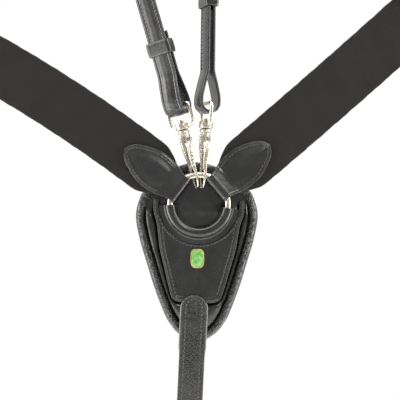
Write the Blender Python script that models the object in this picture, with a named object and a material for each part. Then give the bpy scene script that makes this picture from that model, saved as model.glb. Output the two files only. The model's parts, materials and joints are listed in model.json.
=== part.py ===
"""Centre section of a leather and elastic breastplate with a clip-on running martingale.

It hangs upright in the XZ plane with its front towards -Y. The origin is the middle of the centre ring.
Sizes are in metres. Every piece is its own object; an empty sits on each joint's axis and carries what
turns or slides there.
"""

from math import asin, atan2, cos, pi, radians, sin, sqrt

import bmesh
import bpy
from mathutils import Matrix, Vector

MM = 0.001
GAP = 0.3 * MM
SHARP_ANGLE = radians(38)

# Centre ring
RING_RADIUS = 26.5 * MM
RING_WIRE = 2.9 * MM
COVER_LEATHER = 1.6 * MM
COVER_START = radians(182)
COVER_END = radians(352)
COVER_OUTER_SKIRT = 5.6 * MM

# Shield, from front to back
PLATE_FRONT = 1.0 * MM
PLATE_LEATHER = 1.8 * MM
UNDERLAY = RING_WIRE + 2.3 * MM
FACING_LEATHER = 1.4 * MM
FILLING = 4.5 * MM
BACKING_LEATHER = 1.5 * MM
PAD_SHIFT = -2.1 * MM
PAD_HALF_OUTLINE = [
    (0, 39), (20, 34.2), (37, 25), (48, 14), (53.1, 5.5), (56.8, -11), (53.1, -33), (46.6, -55),
    (39.8, -77), (31.5, -99), (26, -110), (16.4, -121.4), (0, -129),
]
PLATE_LEAN = radians(1.8)
PLATE_TOP = 4.0 * MM
PLATE_HALF_OUTLINE = [(41.5, -8), (38.1, -20), (34.8, -42), (30.6, -58), (23.6, -84), (20.5, -89), (15, -91)]
BORDER_WIDTH = 8.3 * MM
BORDER_LEATHER = 1.3 * MM
BORDER_CREST = 3.2 * MM
ROLL_HALF_WIDTH = 1.4 * MM
ROLL_HEIGHT = 4.6 * MM
ROLL_TOP = -4.0 * MM

# Badge
BADGE_PLACE = (-1.5 * MM, -50.1 * MM)
BADGE_WIDTH = 12.5 * MM
BADGE_HEIGHT = 18.0 * MM
BEZEL_RIM = 1.1 * MM
BEZEL_DEPTH = 1.6 * MM
STONE_DOME = 1.3 * MM

# Lower strap and its buckle
STRAP_LEAN = radians(2.7)
STRAP_TOP = 84.0 * MM
STRAP_FOLD = 206.0 * MM
STRAP_WIDTH = 23.6 * MM
STRAP_LEATHER = 1.9 * MM
STRAP_MIDDLE = -1.95 * MM
STRAP_TURN_BACK = 38.0 * MM
STRAP_CLOSE = 14.0 * MM
LINING_WIDTH = STRAP_WIDTH + 2.0 * MM
LINING_STEP = 131.0 * MM
LINING_LEATHER = 1.4 * MM
BUCKLE_WIRE = 1.9 * MM
BUCKLE_INSIDE = STRAP_WIDTH + 4.0 * MM
BUCKLE_LENGTH = 30.0 * MM
BUCKLE_CORNER = 3.0 * MM
ROLLER_WALL = 1.2 * MM
TONGUE_WIDTH = 4.0 * MM
TONGUE_THICKNESS = 1.4 * MM
TONGUE_SLOT_CLEARANCE = 0.7 * MM
LOWER_KEEPER_PLACE = STRAP_FOLD - 17.0 * MM
KEEPER_LEATHER = 1.8 * MM
KEEPER_CLEARANCE = 0.35 * MM
LOWER_KEEPER_HEIGHT = 10.0 * MM

# Side arms
ARM_ANGLE = {"left": radians(143.0), "right": radians(40.3)}
ARM_DRIFT = {"left": 7.3 * MM, "right": 1.5 * MM}
DRIFT_START = 60.0 * MM
DRIFT_RUN = 140.0 * MM
FOLD_PLACE = RING_RADIUS - 1.7 * MM
FOLD_CAVITY = RING_WIRE + 2.05 * MM
TAB_LEATHER = 1.7 * MM
TAB_LENGTH = 85.0 * MM
TAB_WIDEST = 54.0 * MM
TAB_HALF_WIDTH = 18.0 * MM
TAB_FOLD_HALF_WIDTH = 12.0 * MM
ELASTIC_THICKNESS = 2.5 * MM
ELASTIC_HALF_WIDTH = 25.6 * MM
ELASTIC_START = 31.5 * MM
ELASTIC_START_HALF_WIDTH = 13.0 * MM
ELASTIC_FLARE = 30.0 * MM
ELASTIC_END = 290.0 * MM
CHAPE_START = ELASTIC_END - 26.0 * MM
CHAPE_LEATHER = 2.0 * MM
DEE_PLACE = ELASTIC_END + 10.0 * MM
DEE_WIRE = 2.3 * MM
DEE_DEPTH = 20.0 * MM

# Snap hooks, each measured up its own axis from the ring wire
SNAP_CROSSING = {"left": -4.6 * MM, "right": 3.5 * MM}
SNAP_TILT = {"left": radians(-13.5), "right": radians(3.5)}
SNAP_YAW = {"left": radians(12), "right": radians(8)}
JAW_REACH = RING_WIRE + 2.4 * MM
JAW_THICKNESS = 2.4 * MM
JAW_ROOT_THICKNESS = 5.0 * MM
JAW_OUTSIDE = 2.5 * MM
JAW_ROOT_OUTSIDE = 5.0 * MM
JAW_TIP_TAPER = 0.95 * MM
PIN_PLACE = 34.0 * MM
PIN_RADIUS = 1.2 * MM
PIN_HEAD_RADIUS = 2.1 * MM
PIN_CLEARANCE = 0.1 * MM
LUG_HALF = 0.9 * MM
LUG_HALF_DEPTH = 3.2 * MM
SPRING_WIRE = 0.35 * MM
SPRING_TURNS = 2
COLLAR_PLACE = 39.5 * MM
COLLAR_RADIUS = 5.6 * MM
COLLAR_HEIGHT = 3.6 * MM
STUD_RADIUS = 1.7 * MM
STUD_HEAD_RADIUS = 3.0 * MM
EYE_WIRE = 1.7 * MM
BRANCH_WIDTH = 20.0 * MM
EYE_INSIDE = BRANCH_WIDTH + 0.6 * MM
EYE_HEIGHT = 17.0 * MM
EYE_CORNER = 4.0 * MM
HUB_RADIUS = 6.6 * MM
HUB_HEIGHT = 6.0 * MM

# Branch straps
BRANCH_TILT = {"left": radians(-8.5), "right": radians(6.5)}
BRANCH_YAW = {"left": radians(-30), "right": radians(-70)}
BRANCH_LEATHER = 2.6 * MM
BRANCH_TOP_WIDTH = 10.0 * MM
BRANCH_TAPER = 16.0 * MM
LOOP_RADIUS = 8.4 * MM
RUN_SPACING = 5.2 * MM
LOOP_LENGTH = 34.0 * MM
BRANCH_LENGTH = 122.0 * MM
TURN_BACK = {"left": 68.0 * MM, "right": 104.0 * MM}
TOP_TURN_BACK = 12.0 * MM
KEEPER_PLACE = {"left": 54.0 * MM, "right": 94.0 * MM}
KEEPER_HEIGHT = 13.0 * MM
REIN_RING_RADIUS = 18.0 * MM
REIN_RING_WIRE = 2.3 * MM

X = Vector((1, 0, 0))
Y = Vector((0, 1, 0))
Z = Vector((0, 0, 1))


def clear_scene():
    for old in list(bpy.data.objects):
        bpy.data.objects.remove(old, do_unlink=True)


def material(name, colour, roughness, metallic=0.0):
    made = bpy.data.materials.new(name)
    made.use_nodes = True
    shader = made.node_tree.nodes["Principled BSDF"]
    shader.inputs["Base Color"].default_value = (*colour, 1)
    shader.inputs["Roughness"].default_value = roughness
    shader.inputs["Metallic"].default_value = metallic
    made.diffuse_color = (*colour, 1)
    return made


def make_materials():
    return {
        "smooth_leather": material("smooth_leather", (0.025, 0.025, 0.027), 0.38),
        "grained_leather": material("grained_leather", (0.03, 0.03, 0.031), 0.55),
        "felt": material("felt", (0.05, 0.05, 0.05), 0.95),
        "foam": material("foam", (0.25, 0.25, 0.24), 0.9),
        "elastic": material("elastic", (0.022, 0.021, 0.02), 0.85),
        "nickel": material("nickel", (0.8, 0.77, 0.7), 0.22, 1.0),
        "spring_steel": material("spring_steel", (0.5, 0.5, 0.5), 0.35, 1.0),
        "gilt": material("gilt", (0.72, 0.62, 0.25), 0.25, 1.0),
        "green_stone": material("green_stone", (0.2, 0.6, 0.16), 0.15),
    }


def empty(name, matrix, parent=None):
    """An axis marker; matrix is in world space."""
    made = bpy.data.objects.new(name, None)
    made.empty_display_size = 0.01
    bpy.context.scene.collection.objects.link(made)
    made.parent = parent
    made.matrix_world = matrix
    bpy.context.view_layer.update()
    return made


def closed_mesh(name, points, faces, surface, parent):
    """An object whose points are in its parent's space, with every face turned outwards."""
    mesh = bpy.data.meshes.new(name)
    mesh.from_pydata([tuple(p) for p in points], [], faces)
    bm = bmesh.new()
    bm.from_mesh(mesh)
    bmesh.ops.recalc_face_normals(bm, faces=bm.faces)
    bm.to_mesh(mesh)
    bm.free()
    mesh.shade_smooth()
    mesh.set_sharp_from_angle(angle=SHARP_ANGLE)
    if surface:
        mesh.materials.append(surface)
    made = bpy.data.objects.new(name, mesh)
    bpy.context.scene.collection.objects.link(made)
    made.parent = parent
    return made


def loft(name, loops, surface, parent, closed=False):
    """Skins a row of loops that all have the same number of points, and caps the ends unless it is closed."""
    count = len(loops[0])
    points = [p for loop in loops for p in loop]
    faces = []
    for row in range(len(loops) if closed else len(loops) - 1):
        here, there = row * count, (row + 1) % len(loops) * count
        for i in range(count):
            j = (i + 1) % count
            faces.append((here + i, here + j, there + j, there + i))
    if not closed:
        faces.append(tuple(range(count)))
        faces.append(tuple(range(len(points) - count, len(points))))
    return closed_mesh(name, points, faces, surface, parent)


def circle(centre, a, b, radius, steps, start=0.0):
    angles = [start + 2 * pi * i / steps for i in range(steps)]
    return [centre + (a * cos(t) + b * sin(t)) * radius for t in angles]


def arc(centre, a, b, radius, start, end, steps):
    """Points on an arc from start to end, both included."""
    angles = [start + (end - start) * i / steps for i in range(steps + 1)]
    return [centre + (a * cos(t) + b * sin(t)) * radius for t in angles]


def along(start, end, steps):
    """Points from start up to, but not including, end."""
    return [start.lerp(end, i / steps) for i in range(steps)]


def spline(points, steps, closed=False):
    """A Catmull-Rom curve through the points."""
    count = len(points)
    spans = count if closed else count - 1
    made = []
    for k in range(spans):
        if closed:
            p = [points[(k + d) % count] for d in (-1, 0, 1, 2)]
        else:
            p = [points[min(max(k + d, 0), count - 1)] for d in (-1, 0, 1, 2)]
        for i in range(steps):
            t = i / steps
            pull = p[0] * (-t + 2 * t * t - t**3) + p[3] * (t**3 - t * t)
            hold = p[1] * (2 - 5 * t * t + 3 * t**3) + p[2] * (t + 4 * t * t - 3 * t**3)
            made.append((pull + hold) / 2)
    return made if closed else made + [points[-1]]


def directions(points, closed):
    """The unit tangent at each point."""
    count = len(points)
    found = []
    for i in range(count):
        before = points[i - 1] if closed or i else points[0]
        after = points[(i + 1) % count] if closed or i < count - 1 else points[-1]
        found.append((after - before).normalized())
    return found


def inset(points, distance, across=Y):
    """A closed outline moved inwards, towards its middle."""
    middle = sum(points, Vector()) / len(points)
    moved = []
    for p, along_edge in zip(points, directions(points, True)):
        inwards = across.cross(along_edge)
        if inwards.dot(middle - p) < 0:
            inwards = -inwards
        moved.append(p + inwards * distance)
    return moved


def slab(name, outline, front, back, surface, parent, chamfer=0.35 * MM):
    """A flat sheet between two depths, with its edges eased."""
    eased = inset(outline, chamfer)
    loops = [
        [p + Y * front for p in eased],
        [p + Y * (front + chamfer) for p in outline],
        [p + Y * (back - chamfer) for p in outline],
        [p + Y * back for p in eased],
    ]
    return loft(name, loops, surface, parent)


def ribbon(name, path, across, width, thickness, surface, parent, closed=False, shift=0.0):
    """A strap along a path. width, thickness and shift are numbers, or lists with one value a point."""
    given = (width, thickness, shift)
    width, thickness, shift = (v if isinstance(v, list) else [v] * len(path) for v in given)
    loops = []
    for p, t, w, h, s in zip(path, directions(path, closed), width, thickness, shift):
        up = across.cross(t).normalized() * (h / 2)
        side = across * (w / 2)
        ease = min(0.45 * MM, h * 0.3, w * 0.3)
        less_side = side * (1 - 2 * ease / w)
        less_up = up * (1 - 2 * ease / h)
        middle = p + across * s
        corners = [(side, less_up), (less_side, up), (-less_side, up), (-side, less_up)]
        corners += [(-side, -less_up), (-less_side, -up), (less_side, -up), (side, -less_up)]
        loops.append([middle + a + b for a, b in corners])
    return loft(name, loops, surface, parent, closed)


def wire(name, path, radius, surface, parent, across, closed=False, sides=8):
    """Round wire along a path that lies in the plane square to across."""
    loops = []
    for p, t in zip(path, directions(path, closed)):
        loops.append(circle(p, across.cross(t).normalized(), across, radius, sides))
    return loft(name, loops, surface, parent, closed)


def turned(name, profile, surface, parent, axis=Z, a=X, b=Y, sides=16):
    """A turned piece: profile is (radius, place along the axis), from one end to the other."""
    loops = [circle(axis * place, a, b, radius, sides) for radius, place in profile]
    return loft(name, loops, surface, parent)


def cut(target, cutter):
    """Takes the cutter's shape out of the target and hides the cutter."""
    cutter.hide_render = True
    cutter.display_type = "WIRE"
    boolean = target.modifiers.new("cut_" + cutter.name, "BOOLEAN")
    boolean.operation = "DIFFERENCE"
    boolean.object = cutter


def join(target, other):
    """Adds the other's shape to the target and hides the other."""
    other.hide_render = True
    other.display_type = "WIRE"
    boolean = target.modifiers.new("join_" + other.name, "BOOLEAN")
    boolean.operation = "UNION"
    boolean.object = other


def block(name, low, high, parent):
    """A plain box, used to cut with."""
    corners = [(low[0], low[1]), (high[0], low[1]), (high[0], high[1]), (low[0], high[1])]
    loops = [[Vector((x, y, z)) for x, y in corners] for z in (low[2], high[2])]
    return loft(name, loops, None, parent)


def rounded_rectangle(low_x, high_x, low_z, high_z, corner, steps=4):
    """A closed outline in the XZ plane."""
    right, left = high_x - corner, low_x + corner
    top, bottom = high_z - corner, low_z + corner
    points = []
    for k, (x, z) in enumerate([(right, top), (left, top), (left, bottom), (right, bottom)]):
        points += arc(Vector((x, 0, z)), X, Z, corner, k * pi / 2, (k + 1) * pi / 2, steps)
    return points


def with_straight_runs(points, spacing):
    """The same closed outline, with points added along its long straight runs."""
    made = []
    for here, there in zip(points, points[1:] + points[:1]):
        made += along(here, there, max(1, round((there - here).length / spacing)))
    return made


def smooth_step(value):
    value = min(max(value, 0.0), 1.0)
    return value * value * (3 - 2 * value)


# Shield


def facing_front():
    return PLATE_FRONT + PLATE_LEATHER + UNDERLAY + 2 * GAP


def filling_front():
    return facing_front() + FACING_LEATHER + GAP


def lip_front():
    """The border's back lip lies between the filling and the backing."""
    return filling_front() + FILLING + GAP


def backing_front():
    return lip_front() + BORDER_LEATHER + GAP


def backing_back():
    return backing_front() + BACKING_LEATHER


def pad_outline(steps=2):
    right = [Vector((x * MM, 0, z * MM)) for x, z in PAD_HALF_OUTLINE]
    left = [Vector((-p.x, 0, p.z)) for p in reversed(right[1:-1])]
    return [p + X * PAD_SHIFT for p in spline(right + left, steps, closed=True)]


def make_ring(surfaces, parent):
    path = circle(Vector(), X, Z, RING_RADIUS, 48)
    wire("centre_ring", path, RING_WIRE, surfaces["nickel"], parent, Y, closed=True, sides=12)


def make_ring_cover(surfaces, parent):
    """One leather strip: outer skirt, over the front of the wire, round behind it and out again."""
    middle = RING_WIRE + GAP + COVER_LEATHER / 2
    skirt = PLATE_FRONT + COVER_LEATHER / 2 + GAP
    lap = skirt + COVER_LEATHER + GAP
    leave, meet = asin(skirt / middle), asin(lap / middle)
    path = along(Vector((middle + COVER_OUTER_SKIRT, skirt, 0)), Vector((middle * cos(leave), skirt, 0)), 2)
    path += arc(Vector(), X, Y, middle, leave, -2 * pi + meet, 12)
    path += [Vector((middle + COVER_OUTER_SKIRT * 0.6, lap, 0))]
    half = COVER_LEATHER / 2
    near, far = [], []
    for p, t in zip(path, directions(path, False)):
        side = Z.cross(t).normalized() * half
        near.append(p + side)
        far.append(p - side)
    section = near + far[::-1]
    loops = []
    for i in range(25):
        t = COVER_START + (COVER_END - COVER_START) * i / 24
        out = X * cos(t) + Z * sin(t)
        loops.append([out * (RING_RADIUS + p.x) + Y * p.y for p in section])
    loft("ring_cover", loops, surfaces["smooth_leather"], parent)


def plate_outline():
    notch = RING_RADIUS + RING_WIRE + COVER_LEATHER + COVER_OUTER_SKIRT + 2 * GAP
    top = asin(PLATE_TOP / notch)
    right = [Vector((x * MM, 0, z * MM)) for x, z in PLATE_HALF_OUTLINE]
    right = [Vector((right[0].x, 0, PLATE_TOP))] + right
    side = spline(right, 3)
    left = [Vector((-p.x, 0, p.z)) for p in reversed(side)]
    return side + left + arc(Vector(), X, Z, notch, pi - top, 2 * pi + top, 24)


def make_plate(surfaces, parent):
    leaning = empty("plate_lean", Matrix.Rotation(PLATE_LEAN, 4, "Y"), parent)
    outline = plate_outline()
    back = PLATE_FRONT + PLATE_LEATHER
    slab("front_plate", outline, PLATE_FRONT, back, surfaces["smooth_leather"], leaning)
    slab("plate_underlay", outline, back + GAP, back + GAP + UNDERLAY, surfaces["felt"], leaning)


def make_pad_layers(surfaces, parent):
    outline = pad_outline()
    under_border = inset(outline, BORDER_LEATHER + 2 * GAP)
    inside = inset(outline, BORDER_WIDTH * 0.55)
    front = facing_front()
    slab("pad_facing", inside, front, front + FACING_LEATHER, surfaces["smooth_leather"], parent)
    slab("pad_filling", under_border, filling_front(), filling_front() + FILLING, surfaces["foam"], parent)
    slab("pad_backing", inside, backing_front(), backing_back(), surfaces["grained_leather"], parent)


def border_section(crest):
    """The rolled edge as (inwards, depth), from its front lip round the rim to its back lip."""
    front, back = facing_front() - GAP, lip_front()
    half = BORDER_LEATHER / 2
    rim = (front + back) / 2
    path = [
        (BORDER_WIDTH, front - half), (BORDER_WIDTH * 0.72, front - half - crest * 0.75),
        (BORDER_WIDTH * 0.45, front - half - crest), (BORDER_WIDTH * 0.18, front - half - crest * 0.6),
        (half, front + crest * 0.2), (half, rim), (half, back - half),
        (BORDER_WIDTH * 0.25, back + half), (BORDER_WIDTH, back + half),
    ]
    points = [Vector((a, b, 0)) for a, b in path]
    near, far = [], []
    for p, t in zip(points, directions(points, False)):
        side = Z.cross(t).normalized() * half
        near.append(p + side)
        far.append(p - side)
    return near + far[::-1]


def make_pad_border(surfaces, parent):
    """It rolls up proud beside the plate and lies flat behind the arms and the snaps."""
    outline = pad_outline()
    loops = []
    for p, q in zip(outline, inset(outline, 1.0)):
        inwards = q - p
        crest = BORDER_CREST * smooth_step((4 * MM - p.z) / (14 * MM)) + 0.2 * MM
        loops.append([p + inwards * s.x + Y * s.y for s in border_section(crest)])
    loft("pad_border", loops, surfaces["grained_leather"], parent, closed=True)


def make_pad_roll(surfaces, parent):
    """A half-round welt on the facing, inside the border and below the arms."""
    place = BORDER_WIDTH + ROLL_HALF_WIDTH + 2 * GAP
    centre = [p for p in inset(pad_outline(), place) if p.z < ROLL_TOP]
    loops = []
    for p, t in zip(centre, directions(centre, False)):
        foot = p + Y * (facing_front() - GAP)
        side = Y.cross(t).normalized() * ROLL_HALF_WIDTH
        loops.append(arc(foot, side, -Y * ROLL_HEIGHT, 1.0, 0.0, pi, 6))
    loft("pad_roll", loops, surfaces["smooth_leather"], parent)


def pill(half_width, half_height, steps=8):
    """A rounded upright outline with soft corners."""
    corner = half_width * 0.86
    return rounded_rectangle(-half_width, half_width, -half_height, half_height, corner, steps)


def make_badge(surfaces, parent):
    seat = Matrix.Translation((BADGE_PLACE[0], PLATE_FRONT - GAP, BADGE_PLACE[1]))
    place = empty("badge_place", seat, parent)
    section = [(0.0, 0.0), (0.0, 0.8), (0.35, 1.0), (0.75, 1.0), (1.0, 0.8), (1.0, 0.0)]
    rings = []
    for across, rise in section:
        outline = pill(BADGE_WIDTH / 2 - across * BEZEL_RIM, BADGE_HEIGHT / 2 - across * BEZEL_RIM)
        rings.append([p - Y * rise * BEZEL_DEPTH for p in outline])
    loft("badge_bezel", rings, surfaces["gilt"], place, closed=True)
    rim = BEZEL_RIM + GAP * 0.5
    loops = [pill(BADGE_WIDTH / 2 - rim, BADGE_HEIGHT / 2 - rim)]
    for share, rise in ((1.0, 0.9), (0.86, 1.35), (0.6, 1.75), (0.3, 1.95)):
        outline = pill((BADGE_WIDTH / 2 - rim) * share, (BADGE_HEIGHT / 2 - rim) * share)
        loops.append([p - Y * STONE_DOME * rise for p in outline])
    loft("badge_stone", loops, surfaces["green_stone"], place)


# Lower strap


def round_top(width, depth, steps):
    """Middle points and full widths down the rounded top of a strap, which ends at its full width."""
    angles = [pi / 2 * i / 6 for i in range(1, steps + 1)]
    points = [Vector((0, depth, -STRAP_TOP - width / 2 * (1 - cos(t)))) for t in angles]
    return points, [width * sin(t) for t in angles]


def make_lower_strap(surfaces, parent):
    """The strap is stitched on the plate, hangs below the pad and turns back round the buckle's bar."""
    fold = BUCKLE_WIRE + GAP + STRAP_LEATHER / 2
    turn = Vector((0, STRAP_MIDDLE + fold, -STRAP_FOLD))
    behind = STRAP_MIDDLE + STRAP_LEATHER + 3 * GAP + LINING_LEATHER
    path, widths = round_top(STRAP_WIDTH, STRAP_MIDDLE, 5)
    full = Vector((0, STRAP_MIDDLE, -STRAP_TOP - STRAP_WIDTH / 2))
    path += along(full, Vector((0, STRAP_MIDDLE, turn.z)), 6)
    path += arc(turn, -Y, -Z, fold, 0.0, pi, 10)
    path += [Vector((0, behind, turn.z + STRAP_CLOSE)), Vector((0, behind, turn.z + STRAP_TURN_BACK))]
    widths += [STRAP_WIDTH] * (len(path) - len(widths))
    strap = ribbon("lower_strap", path, X, widths, STRAP_LEATHER, surfaces["grained_leather"], parent)
    half = TONGUE_WIDTH / 2 + TONGUE_SLOT_CLEARANCE
    low, high = (-half, -2 * fold, turn.z - 2 * fold), (half, 3 * fold, turn.z + 2 * fold)
    cut(strap, block("tongue_slot", low, high, parent))
    return turn


def make_lining(surfaces, parent):
    """A slightly wider layer behind the strap, which steps in below the shield."""
    depth = STRAP_MIDDLE + (STRAP_LEATHER + LINING_LEATHER) / 2 + GAP
    path, widths = round_top(LINING_WIDTH, depth, 6)
    for place, width in ((LINING_STEP, LINING_WIDTH), (LINING_STEP + 9 * MM, STRAP_WIDTH),
                         (STRAP_FOLD - 9 * MM, STRAP_WIDTH)):
        path.append(Vector((0, depth, -place)))
        widths.append(width)
    ribbon("lower_strap_lining", path, X, widths, LINING_LEATHER, surfaces["smooth_leather"], parent)


def keeper(name, half_width, front, back, place, height, surfaces, parent):
    """A leather band round a strap; front and back are the depths of what it holds."""
    grow = KEEPER_CLEARANCE + KEEPER_LEATHER / 2
    outline = rounded_rectangle(-half_width - grow, half_width + grow, front - grow, back + grow, grow, 3)
    path = [Vector((p.x, p.z, place)) for p in with_straight_runs(outline, 8 * MM)]
    ribbon(name, path, Z, height, KEEPER_LEATHER, surfaces["grained_leather"], parent, closed=True)


def make_lower_keeper(surfaces, parent):
    front = STRAP_MIDDLE - STRAP_LEATHER / 2
    back = STRAP_MIDDLE + 3 * STRAP_LEATHER / 2 + LINING_LEATHER + 3 * GAP
    place, height = -LOWER_KEEPER_PLACE, LOWER_KEEPER_HEIGHT
    keeper("lower_keeper", STRAP_WIDTH / 2, front, back, place, height, surfaces, parent)


def make_buckle(surfaces, axis):
    """Buckle frame, roller and tongue, in the space of the heel bar."""
    half = BUCKLE_INSIDE / 2 + BUCKLE_WIRE
    frame = with_straight_runs(rounded_rectangle(-half, half, -BUCKLE_LENGTH, 0.0, BUCKLE_CORNER), 6 * MM)
    wire("girth_buckle_frame", frame, BUCKLE_WIRE, surfaces["nickel"], axis, Y, closed=True)
    bar = empty("roller_axis", axis.matrix_world @ Matrix.Translation((0, 0, -BUCKLE_LENGTH)), axis)
    reach = half - BUCKLE_CORNER - GAP
    inner = BUCKLE_WIRE + GAP
    outer = inner + ROLLER_WALL
    rings = [(inner, -reach), (outer, -reach), (outer, reach), (inner, reach)]
    loops = [circle(X * place, Y, Z, radius, 20) for radius, place in rings]
    loft("girth_buckle_roller", loops, surfaces["nickel"], bar, closed=True)
    eye = inner + TONGUE_THICKNESS / 2
    rest = outer + GAP + TONGUE_THICKNESS / 2
    path = arc(Vector(), -Y, -Z, eye, -1.6 * pi, 0.0, 14)
    path += [Vector((0, -eye - 0.4 * MM, -8 * MM)), Vector((0, -rest, -BUCKLE_LENGTH + 3 * MM)),
             Vector((0, -rest, -BUCKLE_LENGTH - 4.4 * MM))]
    pivot = empty("tongue_axis", axis.matrix_world, axis)
    ribbon("girth_buckle_tongue", path, X, TONGUE_WIDTH, TONGUE_THICKNESS, surfaces["nickel"], pivot)


# Side arms


def tab_half_width(place):
    """Half the leaf's width at a distance from the ring's middle."""
    if place > TAB_WIDEST:
        share = (TAB_LENGTH - place) / (TAB_LENGTH - TAB_WIDEST)
        return TAB_HALF_WIDTH * max(sin(pi / 2 * min(share, 1.0)), 0.0) ** 0.75
    share = min(max((place - FOLD_PLACE) / (TAB_WIDEST - FOLD_PLACE), 0.0), 1.0)
    return TAB_FOLD_HALF_WIDTH + (TAB_HALF_WIDTH - TAB_FOLD_HALF_WIDTH) * sin(pi / 2 * share)


def make_leaf_tab(side, surfaces, axis):
    """Front leaf, round the ring and back leaf, in the space of the fold's axis."""
    tube = FOLD_CAVITY + TAB_LEATHER / 2
    flat = ELASTIC_THICKNESS / 2 + GAP + TAB_LEATHER / 2
    tip = TAB_LENGTH - 0.6 * MM - FOLD_PLACE
    wide = TAB_WIDEST - FOLD_PLACE
    close = 15 * MM
    leave = radians(62)
    leaf = [Vector((tip + (wide - tip) * (i / 8) ** 1.4, -flat, 0)) for i in range(8)]
    leaf += along(Vector((wide, -flat, 0)), Vector((close, -flat, 0)), 3)
    neck = Vector((tube * cos(leave), -tube * sin(leave), 0))
    leaf += spline([Vector((close, -flat, 0)), Vector((close * 0.64, -flat - 0.9 * MM, 0)), neck], 3)[:-1]
    bend = arc(Vector(), X, Y, tube, -leave, -2 * pi + leave, 16)
    back = [Vector((p.x, -p.y, 0)) for p in reversed(leaf)]
    path = leaf + bend + back
    widths = [2 * tab_half_width(FOLD_PLACE + max(p.x, 0.0)) for p in path]
    ribbon(side + "_leaf_tab", path, Z, widths, TAB_LEATHER, surfaces["smooth_leather"], axis)


def drift(side, place):
    """How far the band's middle has wandered from the arm's line."""
    return ARM_DRIFT[side] * (max(place - DRIFT_START, 0.0) / DRIFT_RUN) ** 2


def band_frame(side, place):
    """The point at a distance from the ring's middle and the band's heading there, in the fold's space."""
    step = 0.5 * MM
    rise = (drift(side, place + step) - drift(side, place - step)) / (2 * step)
    return Vector((place - FOLD_PLACE, 0, drift(side, place))), atan2(rise, 1.0)


def make_elastic(side, surfaces, axis):
    upper, lower = [], []
    count = 26
    for i in range(count + 1):
        place = ELASTIC_START + (ELASTIC_END - ELASTIC_START) * (i / count) ** 1.6
        middle, turn = band_frame(side, place)
        flare = sin(pi / 2 * min((place - ELASTIC_START) / ELASTIC_FLARE, 1.0))
        half = ELASTIC_START_HALF_WIDTH + (ELASTIC_HALF_WIDTH - ELASTIC_START_HALF_WIDTH) * flare
        out = Vector((-sin(turn), 0, cos(turn))) * half
        upper.append(middle + out)
        lower.append(middle - out)
    half = ELASTIC_THICKNESS / 2
    outline = upper + lower[::-1]
    loops = [[p + Y * depth for p in outline] for depth in (-half, half)]
    loft(side + "_elastic", loops, surfaces["elastic"], axis)


def make_end(side, surfaces, axis):
    """Folded chape and dee at the band's far end. It returns the dee's axis."""
    middle, turn = band_frame(side, DEE_PLACE)
    local = Matrix.Translation(middle) @ Matrix.Rotation(-turn, 4, "Y")
    dee_axis = empty(side + "_dee_axis", axis.matrix_world @ local, axis)
    seat = empty(side + "_chape_seat", axis.matrix_world @ local, axis)
    tube = DEE_WIRE + GAP + CHAPE_LEATHER / 2
    flat = ELASTIC_THICKNESS / 2 + GAP + CHAPE_LEATHER / 2
    start = CHAPE_START - DEE_PLACE
    leave = atan2(flat, tube)
    leaf = along(Vector((start, -flat, 0)), Vector((-5 * MM, -flat, 0)), 4)
    leaf += [Vector((-4.4 * MM, -flat, 0))]
    bend = arc(Vector(), X, Y, tube, -pi + leave, pi - leave, 14)
    path = leaf + bend + [Vector((p.x, -p.y, 0)) for p in reversed(leaf)]
    width = 2 * ELASTIC_HALF_WIDTH + 1.6 * MM
    ribbon(side + "_end_chape", path, Z, width, CHAPE_LEATHER, surfaces["smooth_leather"], seat)
    half = width / 2 + DEE_WIRE + 1.2 * MM
    corner = 4 * MM
    angles = [pi * i / 18 for i in range(2, 17)]
    bow = [Vector((DEE_DEPTH * sin(t) ** 0.8, 0, -half * cos(t))) for t in angles]
    low = arc(Vector((corner, 0, -half + corner)), -X, -Z, corner, 0.0, pi / 2, 4)
    high = arc(Vector((corner, 0, half - corner)), Z, -X, corner, 0.0, pi / 2, 4)
    path = with_straight_runs(low + [p for p in bow if p.x > corner * 1.2] + high, 7 * MM)
    wire(side + "_dee_ring", path, DEE_WIRE, surfaces["nickel"], dee_axis, Y, closed=True)


def make_arm(side, surfaces, root):
    turn = Matrix.Rotation(-ARM_ANGLE[side], 4, "Y")
    axis = empty(side + "_arm_axis", turn @ Matrix.Translation((FOLD_PLACE, 0, 0)), root)
    make_leaf_tab(side, surfaces, axis)
    make_elastic(side, surfaces, axis)
    make_end(side, surfaces, axis)


# Snaps


def jaw_path(sign, rivet):
    """A jaw's middle line from its root to its tip, with the rivet at the given place."""
    knots = [(-0.08, 38.4), (-0.2, 32), (-0.69, 22), (-1, 11), (-1, 1.5), (-0.86, -4), (-0.51, -8.4),
             (0.04, -11.8)]
    points = [Vector((0, sign * reach * JAW_REACH, z * MM + rivet - PIN_PLACE)) for reach, z in knots]
    return spline(points, 3)


def make_jaw(name, sign, rivet, surfaces, parent):
    """A split jaw: sign is 1 for the front one, and rivet is the rivet's place in the parent's space."""
    path = jaw_path(sign, rivet)
    beside = LUG_HALF + GAP + (spring_room() if sign > 0 else 0.0)
    widths, shifts, thicknesses = [], [], []
    for p in path:
        place = p.z - rivet + PIN_PLACE
        root = smooth_step((place - 10 * MM) / (18 * MM))
        tip = smooth_step((2 * MM - place) / (14 * MM))
        inner = GAP / 2 + (beside - GAP / 2) * root
        outer = JAW_OUTSIDE + (JAW_ROOT_OUTSIDE - JAW_OUTSIDE) * root - JAW_TIP_TAPER * tip
        widths.append(outer - inner)
        shifts.append(sign * (outer + inner) / 2)
        thicknesses.append(JAW_THICKNESS + (JAW_ROOT_THICKNESS - JAW_THICKNESS) * root - JAW_TIP_TAPER * tip)
    jaw = ribbon(name, path, X, widths, thicknesses, surfaces["nickel"], parent, shift=shifts)
    cut(jaw, pin_hole(name + "_hole", rivet, parent))


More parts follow.
